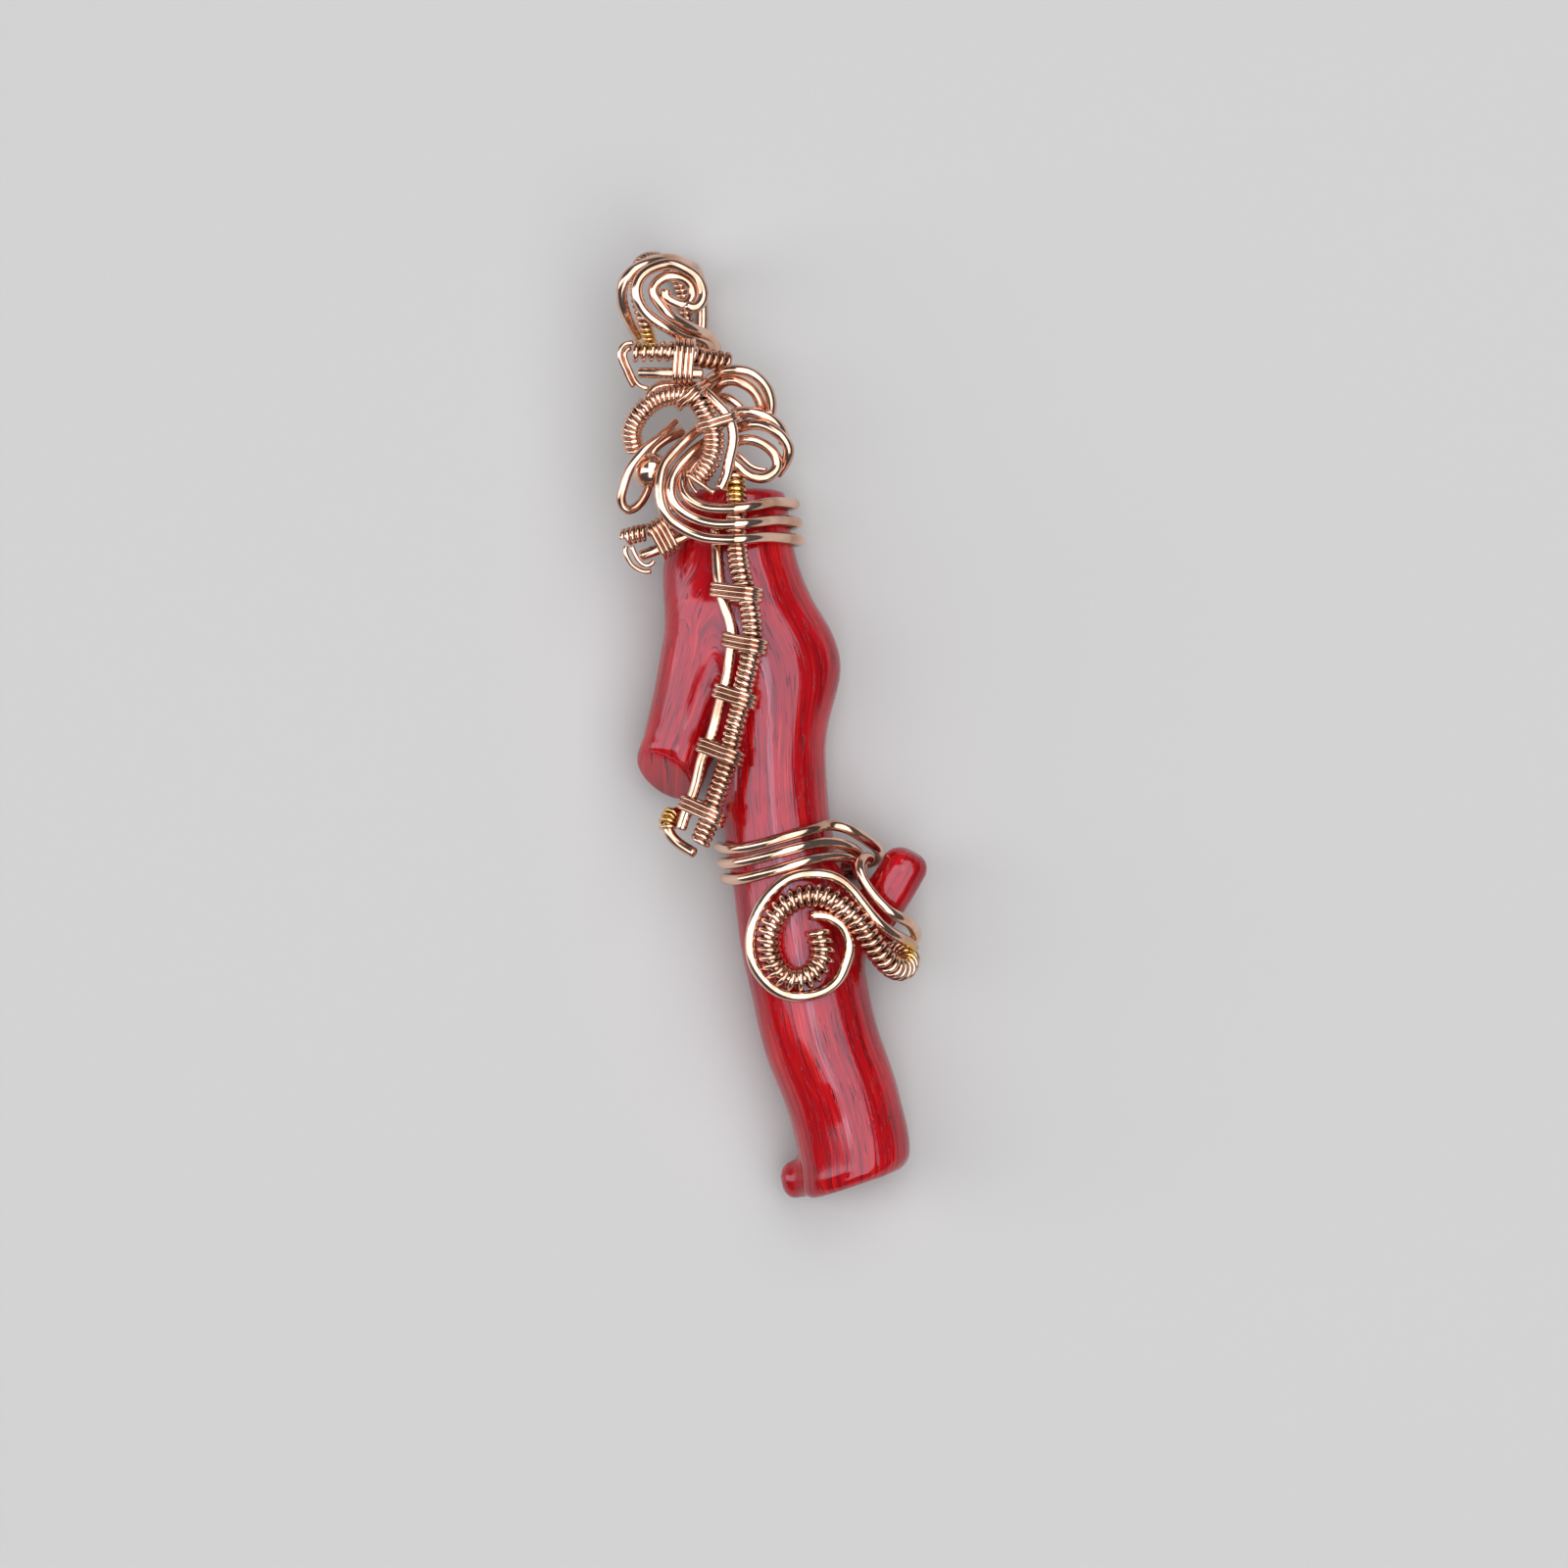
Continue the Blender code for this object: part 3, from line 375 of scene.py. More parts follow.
coralBranch = {
    # height, centre in x, half width, back in z, front in z, slope of the cut
    "trunk": [
        (19.2, -3.1, 3.9, 1.6, 7.8, 0.0), (17.6, -3.35, 4.5, 1.15, 8.3, 0.0),
        (16.0, -3.4, 4.8, 1.0, 8.6, 0.0), (14.0, -3.55, 5.3, 0.95, 8.9, 0.0),
        (12.0, -3.35, 5.75, 0.95, 9.15, 0.0), (10.0, -2.85, 6.15, 0.95, 9.4, 0.0),
        (8.2, -2.2, 6.6, 0.95, 9.6, 0.0), (6.4, -1.25, 6.4, 0.95, 9.7, 0.0),
        (4.6, -0.6, 6.0, 0.95, 9.7, 0.0), (2.5, -0.2, 5.2, 0.95, 9.55, 0.0),
        (0.2, -0.1, 4.5, 0.95, 9.4, 0.0), (-3.4, -0.1, 4.3, 1.0, 9.2, 0.0),
        (-7.4, 0.15, 4.4, 1.0, 9.1, 0.0), (-10.5, 0.7, 4.5, 1.0, 9.15, 0.0),
        (-13.1, 1.4, 4.7, 1.0, 9.2, 0.0), (-17.4, 2.1, 4.85, 0.95, 9.2, 0.05),
        (-22.4, 3.1, 4.65, 0.8, 9.2, 0.15), (-26.2, 4.1, 4.65, 0.7, 9.2, 0.17),
        (-29.3, 5.3, 4.5, 0.65, 9.2, 0.22), (-31.8, 6.0, 4.4, 0.65, 9.15, 0.26),
        (-34.3, 6.5, 4.4, 0.65, 9.1, 0.29), (-37.6, 6.6, 4.4, 0.7, 9.0, 0.34),
        (-41.0, 6.7, 4.4, 0.7, 9.0, 0.34),
    ],
    "top": 18.9,
    "foot": -39.6,
    "ringStep": 0.6,
    "trunkSides": 96,
    "crown": [(0.95, 0.18), (0.86, 0.3), (0.72, 0.37), (0.45, 0.4)],   # share of the top's width, rise
    "meanHalf": 4.4,      # half of the trunk's usual width
    "backPower": 0.7,     # below 1 the back is flatter than the front
    "frontEdge": 0.98,    # wires on the front are read no further out than this share of the half width
    "footCut": ((6.3, -37.15, 4.8), (0.32, -0.947, 0.0)),
    "footRim": 1.2,
    # side limbs: x, y, z and radius along the axis, the cut at the tip and the rounding of its rim
    "arm": [(-4.2, 10.5, 5.2, 4.2), (-4.85, 7.4, 5.2, 4.1), (-5.65, 4.4, 5.1, 3.85), (-6.6, 1.6, 5.0, 3.4),
            (-7.5, -1.0, 5.0, 3.1), (-8.35, -3.3, 5.0, 2.8), (-9.1, -5.4, 5.0, 2.5)],
    "armCut": ((-9.2, -3.9, 5.0), (-0.44, -0.77, 0.46)),
    "armRim": 0.7,
    "stub": [(5.6, -17.0, 5.0, 2.4), (7.6, -15.4, 5.4, 2.15), (8.9, -13.9, 5.9, 1.95),
             (9.9, -12.4, 6.2, 1.88), (10.7, -11.0, 6.4, 1.85), (11.3, -9.8, 6.5, 1.8)],
    "stubCut": ((11.15, -10.1, 6.5), (0.45, 0.88, 0.15)),
    "stubRim": 1.3,
    "nub": [(5.0, -36.0, 3.4, 1.5), (3.6, -36.4, 3.2, 1.6), (2.2, -36.7, 3.0, 1.65), (0.2, -37.1, 2.8, 1.6)],
    "nubCut": ((0.56, -36.95, 3.0), (-0.97, -0.2, 0.0)),
    "nubRim": 1.4,
    "limbStep": 0.5,
    "limbSides": 40,
    "rimSteps": 8,
    "rimRoom": 1.1,       # rings nearer to a cut than this many rims are left out
    "fieldStep": 0.3,     # between the places that a limb's distances are taken from
    "voxel": 0.17,
    "lowest": 0.1,        # the skin stays this far above the floor
    "polish": (0.5, 6),            # share of each move and rounds, over the whole skin
    "forkPolish": (0.6, 110),      # the same at the forks
    "forkReach": {"arm": 3.0, "stub": 0.5, "nub": 0.5},   # how far each fork is blended, as mm squared
    "forkLimit": 2.3,     # blending stops at this many times the root of the reach
    "grainRadius": 4.6,
    # offset round the branch, radius and start of each limb's grain
    "limbGrain": {"arm": (-3.45, 3.6, 8.7), "stub": (9.0, 2.0, 6.0), "nub": (20.0, 1.5, 6.0)},
    "grainBlend": 0.25,
    # the arm's cut face: depth and distance that belong to it, where it begins, and its plain grain
    "face": {"depth": 0.2, "off": 0.3, "along": 12.0, "grainAt": 60.0, "stretch": 0.25},
    "lumps": (0.06, 0.28),         # height and how fast it changes
    "grooves": (0.011, 1.5, 0.16),
}
limbNames = ("arm", "stub", "nub")
trunkTable = np.array(coralBranch["trunk"])[::-1]
trunkAt = splineThrough(trunkTable[:, 0], trunkTable[:, 1:])


def trunkPoint(height, angle, lift=0.0):
    # a place on the trunk's skin, lift outside it; angle 0 is right, 90 front, -90 back
    centre, half, back, front, slope = trunkAt(height)[0]
    c = math.cos(math.radians(angle))
    s = math.sin(math.radians(angle))
    if s < 0:
        c = math.copysign(abs(c) ** coralBranch["backPower"], c)
        s = -(abs(s) ** coralBranch["backPower"])
    x = centre + (half + lift) * c
    return (x, height + slope * (x - centre), (back + front) / 2 + ((front - back) / 2 + lift) * s)


def frontHeight(x, y):
    # height of the coral's front at a place on the page
    centre, half, back, front, slope = trunkAt(y)[0]
    across = min(abs(x - centre) / half, coralBranch["frontEdge"])
    middle = (back + front) / 2
    return middle + (front - middle) * math.sqrt(1 - across ** 2)


def onFront(places, lift):
    # places on the page as points that lie lift above the front
    return [(x, y, frontHeight(x, y) + lift) for x, y in places]


def around(turns, lift):
    # (angle, height) pairs as points that lie lift outside the skin
    return [trunkPoint(height, angle, lift) for angle, height in turns]


def cutEnd(rings, cut, rim, s=coralBranch):
    # ends the rings on a flat cut whose rim is rounded by the radius rim
    origin = np.array(cut[0])
    normal = np.array(cut[1]) / np.linalg.norm(cut[1])
    kept = [np.array(ring, float) for ring in rings]
    kept = [ring for ring in kept if ((ring - origin) @ normal).max() < -s["rimRoom"] * rim]
    last = kept[-1]
    middle = last.mean(axis=0)
    forward = middle - kept[-2].mean(axis=0)
    forward /= np.linalg.norm(forward)
    inward = middle - last
    inward /= np.linalg.norm(inward, axis=1)[:, None]
    for bend in np.linspace(0, math.pi / 2, s["rimSteps"] + 1):
        moved = last + inward * rim * (1 - math.cos(bend))
        short = (origin - moved) @ normal - rim * (1 - math.sin(bend))
        kept.append(moved + forward * (short / forward.dot(normal))[:, None])
    return kept


def limbRings(axis, s=coralBranch):
    route = smoothRoute(axis, s["limbStep"])
    forward, side, up = framesAlong(route[:, :3])
    angles = np.linspace(0, 2 * np.pi, s["limbSides"], endpoint=False)
    out = side[:, None, :] * np.cos(angles)[None, :, None] + up[:, None, :] * np.sin(angles)[None, :, None]
    return route[:, None, :3] + out * route[:, None, 3:4]


def ringSkin(bm, rings):
    rows = [[bm.verts.new(Vector(p)) for p in ring] for ring in rings]
    bm.faces.new(rows[0])
    bm.faces.new(rows[-1][::-1])
    for first, second in zip(rows, rows[1:]):
        for k in range(len(first)):
            n = (k + 1) % len(first)
            bm.faces.new((first[k], second[k], second[n], first[n]))


def trunkField(spots, s):
    # height, angle and rough distance from the trunk's skin, for many places
    height = spots[:, 1].copy()
    for _ in range(3):
        centre, half, back, front, slope = trunkAt(height).T
        height = spots[:, 1] - slope * (spots[:, 0] - centre)
        height = np.clip(height, s["foot"] - 1, trunkTable[-1, 0])
    acrossX = (spots[:, 0] - centre) / half
    acrossZ = (spots[:, 2] - (back + front) / 2) / ((front - back) / 2)
    return height, np.arctan2(acrossZ, acrossX), (np.hypot(acrossX, acrossZ) - 1) * s["meanHalf"]


def limbField(spots, axis, s=coralBranch):
    # distance along a limb, angle round it and distance from its skin, for many places
    route = smoothRoute(axis, s["fieldStep"])
    forward, side, up = framesAlong(route[:, :3])
    best = np.zeros(len(spots), int)
    nearest = np.full(len(spots), 1e9)
    for i in range(len(route)):
        away = np.linalg.norm(spots - route[i, :3], axis=1)
        closer = away < nearest
        nearest[closer] = away[closer]
        best[closer] = i
    rel = spots - route[best, :3]
    angle = np.arctan2((rel * up[best]).sum(axis=1), (rel * side[best]).sum(axis=1))
    along = best * s["fieldStep"] + (rel * forward[best]).sum(axis=1)
    return along, angle, nearest - route[best, 3]


def buildCoral(s=coralBranch):
    bm = bmesh.new()
    heights = np.linspace(s["top"], s["foot"], int((s["top"] - s["foot"]) / s["ringStep"]))
    angles = np.linspace(-180, 180, s["trunkSides"], endpoint=False)
    rings = [[trunkPoint(h, a) for a in angles] for h in heights]
    crown = np.array(rings[0])
    middle = crown.mean(axis=0)
    for size, rise in s["crown"]:
        lid = middle + (crown - middle) * size
        lid[:, 1] += rise
        rings.insert(0, lid)
    ringSkin(bm, cutEnd(rings, s["footCut"], s["footRim"]))
    for name in limbNames:
        ringSkin(bm, cutEnd(limbRings(s[name]), s[name + "Cut"], s[name + "Rim"]))
    bmesh.ops.recalc_face_normals(bm, faces=bm.faces)
    rough = bpy.data.meshes.new("coral_rough")
    bm.to_mesh(rough)
    bm.free()
    block = bpy.data.objects.new("coral_rough", rough)
    bpy.context.scene.collection.objects.link(block)
    remesh = block.modifiers.new("one skin", "REMESH")
    remesh.mode = "VOXEL"
    remesh.voxel_size = s["voxel"]
    graph = bpy.context.evaluated_depsgraph_get()
    skin = bpy.data.meshes.new_from_object(block.evaluated_get(graph))
    bpy.data.objects.remove(block, do_unlink=True)
    spots = np.empty(len(skin.vertices) * 3)
    skin.vertices.foreach_get("co", spots)
    spots = spots.reshape(-1, 3)
    edges = np.empty(len(skin.edges) * 2, int)
    skin.edges.foreach_get("vertices", edges)
    edges = edges.reshape(-1, 2)
    print("coral skin:", len(spots), "vertices")

    def relax(spots, weight, rounds):
        count = np.bincount(edges.ravel(), minlength=len(spots))[:, None]
        for _ in range(rounds):
            total = np.zeros_like(spots)
            for k in range(3):
                total[:, k] = np.bincount(edges[:, 0], spots[edges[:, 1], k], len(spots))
                total[:, k] += np.bincount(edges[:, 1], spots[edges[:, 0], k], len(spots))
            spots = spots + (total / count - spots) * weight[:, None]
        return spots

    share, rounds = s["polish"]
    spots = relax(spots, np.full(len(spots), share), rounds)
    height, turn, offTrunk = trunkField(spots, s)
    limbs = {name: limbField(spots, s[name]) for name in limbNames}
    fork = np.zeros(len(spots))
    for name, reach in s["forkReach"].items():
        off = limbs[name][2]
        limit = s["forkLimit"] * math.sqrt(reach)
        near = (np.abs(off) < limit) * (np.abs(offTrunk) < limit)
        away = np.maximum(off, 0) ** 2 + np.maximum(offTrunk, 0) ** 2
        fork = np.maximum(fork, near * np.exp(-away / reach))
    share, rounds = s["forkPolish"]
    spots = relax(spots, share * fork, rounds)

    # the grain runs along the branch and passes into the limbs at the forks
    grainAround = (math.pi / 2 - turn) * s["grainRadius"]
    wholeTurn = 2 * math.pi * s["grainRadius"]
    grainAround = np.where(turn < -math.pi / 2, grainAround - wholeTurn, grainAround)
    grainAlong = height
    for name, (offset, size, top) in s["limbGrain"].items():
        along, angle, off = limbs[name]
        blend = 1 / (1 + np.exp(np.clip((off - offTrunk) / s["grainBlend"], -30, 30)))
        own = offset + (math.pi / 2 - angle) * size
        grainAround = grainAround * (1 - blend) + own * blend
        grainAlong = grainAlong * (1 - blend) + (top - along) * blend
    # the cut face of the arm is plain, the lines of the grain end at its rim
    along, angle, off = limbs["arm"]
    origin, normal = (np.array(v) for v in s["armCut"])
    face = s["face"]
    onFace = ((spots - origin) @ normal > -face["depth"]) * (along > face["along"]) * (off < face["off"])
    grainAround = np.where(onFace, face["grainAt"] + face["stretch"] * spots[:, 0], grainAround)
    grainAlong = np.where(onFace, face["stretch"] * spots[:, 1], grainAlong)
    skin.vertices.foreach_set("co", spots.ravel())
    skin.update()
    normals = np.empty(len(spots) * 3)
    skin.vertices.foreach_get("normal", normals)
    normals = normals.reshape(-1, 3)
    lumpHeight, lumpRate = s["lumps"]
    grooveHeight, rateAround, rateAlong = s["grooves"]
    lift = []
    for spot, a, b in zip(spots.tolist(), grainAround.tolist(), grainAlong.tolist()):
        lump = lumpHeight * noise.noise(Vector(spot) * lumpRate)
        groove = grooveHeight * noise.noise(Vector((a * rateAround, b * rateAlong, 4.0)))
        lift.append(lump + groove)
    spots = spots + normals * np.array(lift)[:, None]
    spots[:, 2] = np.maximum(spots[:, 2], s["lowest"])
    skin.vertices.foreach_set("co", ((spots + shift) * mm).ravel())
    grain = np.column_stack([grainAround, grainAlong, np.zeros(len(spots))])
    skin.attributes.new("grain", "FLOAT_VECTOR", "POINT").data.foreach_set("vector", grain.ravel())
    skin.update()
    skin.shade_smooth()
    skin.name = "coral_branch"
    return skin


coralNodes = ["coral_crown", "coral_main_stem", "coral_left_arm", "coral_side_stub", "coral_foot_nub"]
addPiece("coral_branch", buildCoral(), coralMaterial, coralNodes)
print("coral done")


# Bindings of fine wire round two wires

def meets(route, anchor, normal):
    # where a route crosses a binding's plane, nearest to its anchor
    level = (route[:, :2] - np.array(anchor)) @ np.array(normal)
    best = None
    for i in range(len(route) - 1):
        if level[i] * level[i + 1] <= 0 and level[i] != level[i + 1]:
            spot = route[i] + (route[i + 1] - route[i]) * level[i] / (level[i] - level[i + 1])
            miss = np.linalg.norm(spot[:2] - np.array(anchor))
            if best is None or miss < best[0]:
                ahead = Vector(route[i + 1] - route[i]).normalized()
                best = (miss, spot, abs(ahead.dot(Vector((*normal, 0)))))
    return best[1], best[2]


tie = {
    "slack": 0.03,       # between the binding and what it holds
    "pitch": 0.41,
    "corner": 6,         # degrees between two places of the outline
    "perTurn": 40,
    "routeStep": 0.2,    # between two places along the wires that are held
    "leastSquare": 0.8,  # a slanting wire is taken as no wider than its radius over this
}


def addBinding(name, nodes, held, anchor, slant, turns, slack=tie["slack"], s=tie):
    tilt = math.radians(slant)
    across = np.array((math.cos(tilt), math.sin(tilt), 0.0))
    along = np.array((-across[1], across[0], 0.0))
    circles = []
    for route, radius in held:
        spot, square = meets(smoothRoute(route, s["routeStep"]), anchor, along[:2])
        circles.append((spot, radius / max(square, s["leastSquare"])))
    outline = []
    for a in np.radians(np.arange(-90, 270, s["corner"])):
        out = across * math.cos(a) + np.array((0.0, 0.0, math.sin(a)))
        centre, radius = max(circles, key=lambda c: c[0].dot(out) + c[1])
        outline.append(centre + out * (radius + slack + fineWire / 2))
    outline = np.array(outline + outline[:1])
    lengths = np.concatenate(([0.0], np.cumsum(np.linalg.norm(np.diff(outline, axis=0), axis=1))))
    t = np.arange(turns * s["perTurn"] + 1) / s["perTurn"]
    place = (t % 1.0) * lengths[-1]
    path = np.column_stack([np.interp(place, lengths, outline[:, k]) for k in range(3)])
    path += along * ((t - turns / 2) * s["pitch"])[:, None]
    addCopper(name, nodes, [tube(path, fineWire, fineSides)])


# The sweeps from the top round the crown

behindCrown = (45, 15, -15, -45, -75, -105, -135, -165)
sweeps = {
    "outer": {
        "front": [
            (-5.2, 24.4, 7.2), (-6.33, 23.71, 8.0), (-7.51, 22.59, 8.6), (-8.18, 21.86, 8.9),
            (-8.7, 21.2, 9.1), (-9.1, 20.07, 9.4), (-9.2, 18.95, 9.5), (-9.05, 17.89, 9.6),
            (-8.6, 16.9, 9.6), (-7.75, 16.13, 9.5), (-6.63, 15.52, 9.6), (-5.51, 15.15, 9.9),
            (-4.4, 15.0, 10.5), (-3.05, 14.95, 11.05), (-1.6, 15.1, 10.4),
        ],
        "band": (15.2, -0.07),   # height behind the crown and its change from place to place
    },
    "middle": {
        "front": [
            (-4.9, 23.3, 7.2), (-6.16, 22.4, 8.1), (-7.2, 21.4, 8.6), (-7.95, 20.35, 9.0),
            (-8.3, 19.23, 9.4), (-8.1, 18.11, 9.5), (-7.5, 17.35, 9.6), (-6.63, 16.8, 9.6),
            (-5.51, 16.4, 9.8), (-4.3, 16.2, 10.3), (-3.05, 16.2, 10.75), (-1.6, 16.35, 10.2),
        ],
        "band": (16.6, -0.06),
    },
    "inner": {
        "front": [
            (-4.6, 22.9, 6.2), (-5.9, 22.1, 6.9), (-6.9, 21.1, 7.7), (-7.4, 20.1, 8.6),
            (-7.35, 19.2, 9.0), (-7.0, 18.45, 9.3), (-6.4, 17.95, 9.45), (-5.51, 17.6, 9.6),
            (-4.4, 17.45, 10.0), (-3.05, 17.45, 10.4), (-1.6, 17.7, 9.9),
        ],
        "band": (18.05, -0.03),
    },
}
for key, s in sweeps.items():
    start, drop = s["band"]
    back = around([(a, start + k * drop) for k, a in enumerate(behindCrown)], seat)
    addWire("sweep_" + key, ["sweep_wire_" + key], s["front"] + back)
sweepFine = [
    (-5.9, 21.5, 8.2), (-6.6, 20.75, 8.4), (-6.85, 20.1, 8.45), (-6.65, 19.4, 8.5), (-6.2, 18.75, 8.6),
]
addWire("sweep_fine", ["sweep_fine_wire"], sweepFine, fineWire)
print("sweeps done")

# The arch above the coral, the petals at its right and the bead at its left

arch = {
    "coil": [
        (-11.2, 22.25, 7.6), (-11.45, 23.75, 8.2), (-10.8, 25.1, 8.8), (-9.6, 26.2, 8.8),
        (-8.0, 26.65, 8.9), (-6.8, 26.55, 9.2), (-6.0, 26.0, 9.7), (-5.45, 24.95, 9.7),
        (-4.95, 24.0, 9.7), (-4.8, 22.95, 9.7), (-4.95, 21.75, 9.6), (-5.45, 20.8, 9.4),
        (-6.25, 19.75, 9.1),
    ],
    "wire": [
        (-10.25, 26.15, 7.4), (-9.6, 27.2, 7.6), (-8.0, 27.5, 7.8), (-6.8, 27.4, 8.15),
        (-5.85, 27.15, 8.85), (-4.9, 26.25, 9.4), (-4.0, 25.3, 9.6), (-3.35, 24.0, 9.7),
        (-3.3, 22.65, 9.7), (-3.6, 21.3, 9.6), (-3.95, 19.9, 9.6), (-4.4, 19.05, 9.6),
    ],
    "tail": [(-6.95, 20.25, 10.3), (-6.55, 19.9, 10.4), (-5.7, 19.3, 10.4), (-4.8, 18.7, 10.6)],
    "outer": 1.75,
    "pitch": 0.43,
    # anchor, slant of the turns in degrees, turns
    "bindings": {"upper": ((-6.4, 26.9), 45, 2), "lower": ((-4.4, 24.5), 20, 2)},
}
addCoil("arch_coil", ["arc_coil"], arch["coil"], arch["outer"], thickWire, arch["pitch"])
addWire("arch_wire", ["arc_wire"], arch["wire"])
addWire("arch_tail", ["arc_tail"], arch["tail"], fineWire)
held = [(arch["coil"], arch["outer"] / 2), (arch["wire"], thickWire / 2)]
for key, binding in arch["bindings"].items():
    addBinding("arch_binding_" + key, ["arc_binding_" + key], held, *binding)

petals = {
    "petal_one_outer": [
        (-5.45, 27.35, 7.0), (-5.2, 27.9, 7.2), (-4.7, 28.3, 7.8), (-3.9, 28.6, 8.5),
        (-3.02, 28.67, 8.7), (-2.13, 28.54, 8.7), (-1.2, 27.95, 8.6), (-0.55, 27.15, 8.5),
        (-0.26, 26.26, 8.2), (-0.25, 25.4, 7.8), (-0.35, 24.8, 7.5),
    ],
    "petal_one_inner": [
        (-5.1, 26.55, 7.2), (-4.75, 27.05, 7.6), (-4.25, 27.6, 8.0), (-3.4, 27.85, 8.3),
        (-2.4, 27.55, 8.3), (-1.7, 27.05, 8.1), (-1.2, 26.25, 7.8), (-0.95, 25.5, 7.3),
        (-0.9, 24.9, 6.8),
    ],
    "petal_one_back": [
        (-4.55, 26.4, 6.6), (-3.85, 26.5, 6.9), (-3.2, 26.15, 7.0), (-2.65, 25.6, 6.9), (-2.25, 24.95, 6.6),
    ],
    "petal_two_outer": [
        (-3.75, 24.9, 7.7), (-2.82, 25.28, 8.0), (-1.3, 25.2, 8.2), (-0.47, 24.88, 8.1),
        (0.29, 24.3, 7.8), (0.72, 23.6, 7.3), (0.8, 22.8, 6.9),
    ],
    "petal_two_inner": [
        (-3.35, 23.9, 7.6), (-2.47, 24.19, 8.0), (-0.95, 24.24, 8.5), (-0.26, 23.96, 8.7),
        (0.42, 23.48, 8.8), (0.92, 22.93, 8.7), (1.18, 22.26, 8.5), (1.11, 21.7, 8.2),
        (0.75, 21.0, 7.6), (0.25, 20.4, 7.0),
    ],
    "petal_teardrop": [
        (-3.35, 22.7, 7.6), (-2.95, 22.95, 7.8), (-1.7, 23.05, 8.0), (-0.6, 22.55, 8.1),
        (0.15, 21.7, 8.2), (0.25, 20.9, 8.2), (-0.7, 20.05, 8.4), (-1.7, 20.1, 8.6),
        (-2.95, 20.95, 8.9), (-3.6, 21.6, 8.7),
    ],
}
for name, points in petals.items():
    addWire(name.replace("petal", "leaf"), [name], points)
petalFine = [(-3.2, 22.1, 7.0), (-2.8, 21.85, 7.1), (-1.7, 20.95, 7.2), (-0.55, 20.7, 7.2)]
addWire("leaf_fine", ["petal_fine_wire"], petalFine, fineWire)

bead = {
    "across": 3.0,
    "hole": 1.1,
    "along": (0.13, 1.0, 0.0),
    "lip": [(0.06, 0.02), (0.08, 0.12)],   # how far the rim of the hole turns in, and how deep
    "profileSteps": 25,
    "sides": 56,
    "wire": [
        (-7.3, 23.85, 6.4), (-8.15, 23.45, 6.9), (-9.1, 22.9, 7.3), (-9.75, 22.25, 7.4),
        (-10.0, 20.65, 7.4), (-10.2, 19.2, 7.4), (-10.95, 17.85, 7.8), (-11.85, 17.45, 8.2),
        (-12.3, 18.15, 8.5), (-12.15, 19.1, 8.7), (-11.7, 20.5, 8.9), (-10.65, 22.0, 9.0),
        (-9.6, 22.95, 8.6), (-8.7, 23.7, 8.0), (-7.85, 24.65, 7.2),
    ],
}


def addBead(s=bead):
    along = Vector(s["along"]).normalized()
    side = along.cross(Vector((0, 0, 1))).normalized()
    up = side.cross(along)
    edge = math.asin(s["hole"] / s["across"])
    profile = []
    for a in np.linspace(edge, math.pi - edge, s["profileSteps"]):
        profile.append((s["across"] / 2 * math.sin(a), s["across"] / 2 * math.cos(a)))
    rimRadius, rimHeight = profile[-1]
    profile += [(rimRadius - inward, rimHeight + deep) for inward, deep in s["lip"]]
    profile += [(rimRadius - inward, -rimHeight - deep) for inward, deep in s["lip"][::-1]]
    verts, faces = [], []
    for i in range(s["sides"]):
        a = 2 * math.pi * i / s["sides"]
        out = side * math.cos(a) + up * math.sin(a)
        verts += [Vector(beadCentre) + out * r + along * h for r, h in profile]
    rows = len(profile)
    for i in range(s["sides"]):
        for k in range(rows):
            n, j = (k + 1) % rows, (i + 1) % s["sides"]
            faces.append((i * rows + k, i * rows + n, j * rows + n, j * rows + k))
    spots = np.array([list(v) for v in verts])
    mesh = toMesh("round_bead", [(spots, faces)], [np.zeros(len(spots))])
    bm = bmesh.new()
    bm.from_mesh(mesh)
    bmesh.ops.recalc_face_normals(bm, faces=bm.faces)
    bm.to_mesh(mesh)
    bm.free()
    addPiece("round_bead", mesh, copperMaterial, ["copper_bead"])


addBead()
addWire("bead_loop", ["bead_wire"], bead["wire"], mediumWire)
print("arch, leaves and bead done")

# The cross bar and the bail

topBar = {
    "coil": [
        (-11.2, 30.05, 9.2), (-9.8, 30.12, 9.3), (-8.4, 30.08, 9.3), (-7.0, 29.9, 9.1), (-5.45, 29.6, 8.2),
        (-4.6, 29.5, 7.6), (-3.85, 29.4, 7.1),
    ],
    "wire": [(-10.9, 28.42, 9.2), (-9.2, 28.38, 9.4), (-7.5, 28.36, 9.4), (-5.7, 28.38, 9.2)],
    "loopOuter": [
        (-11.3, 30.78, 9.4), (-12.0, 30.7, 9.5), (-12.36, 30.2, 9.5), (-12.37, 29.5, 9.4),
        (-12.02, 28.7, 9.3), (-11.62, 27.8, 9.1), (-11.3, 27.3, 8.9),
    ],
    "loopInner": [
        (-11.5, 30.4, 9.2), (-11.93, 30.15, 9.3), (-11.95, 29.5, 9.2), (-11.58, 28.62, 9.1),
        (-11.18, 27.8, 8.9), (-10.75, 27.38, 8.7), (-10.1, 27.2, 8.5),
    ],
    "outer": 1.75,
    "pitch": 0.64,
    "winding": 0.5,
    "bindings": {"left": ((-7.7, 29.2), 88, 2), "right": ((-6.85, 29.1), 88, 2)},
}
addCoil("cross_bar_coil", ["top_bar_coil"], topBar["coil"], topBar["outer"], thickWire, topBar["pitch"],
        topBar["winding"])
addWire("cross_bar_wire", ["top_bar_wire"], topBar["wire"])
held = [(topBar["coil"], topBar["outer"] / 2), (topBar["wire"], thickWire / 2)]
for key, binding in topBar["bindings"].items():
    addBinding("cross_bar_binding_" + key, ["top_bar_binding_" + key], held, *binding)
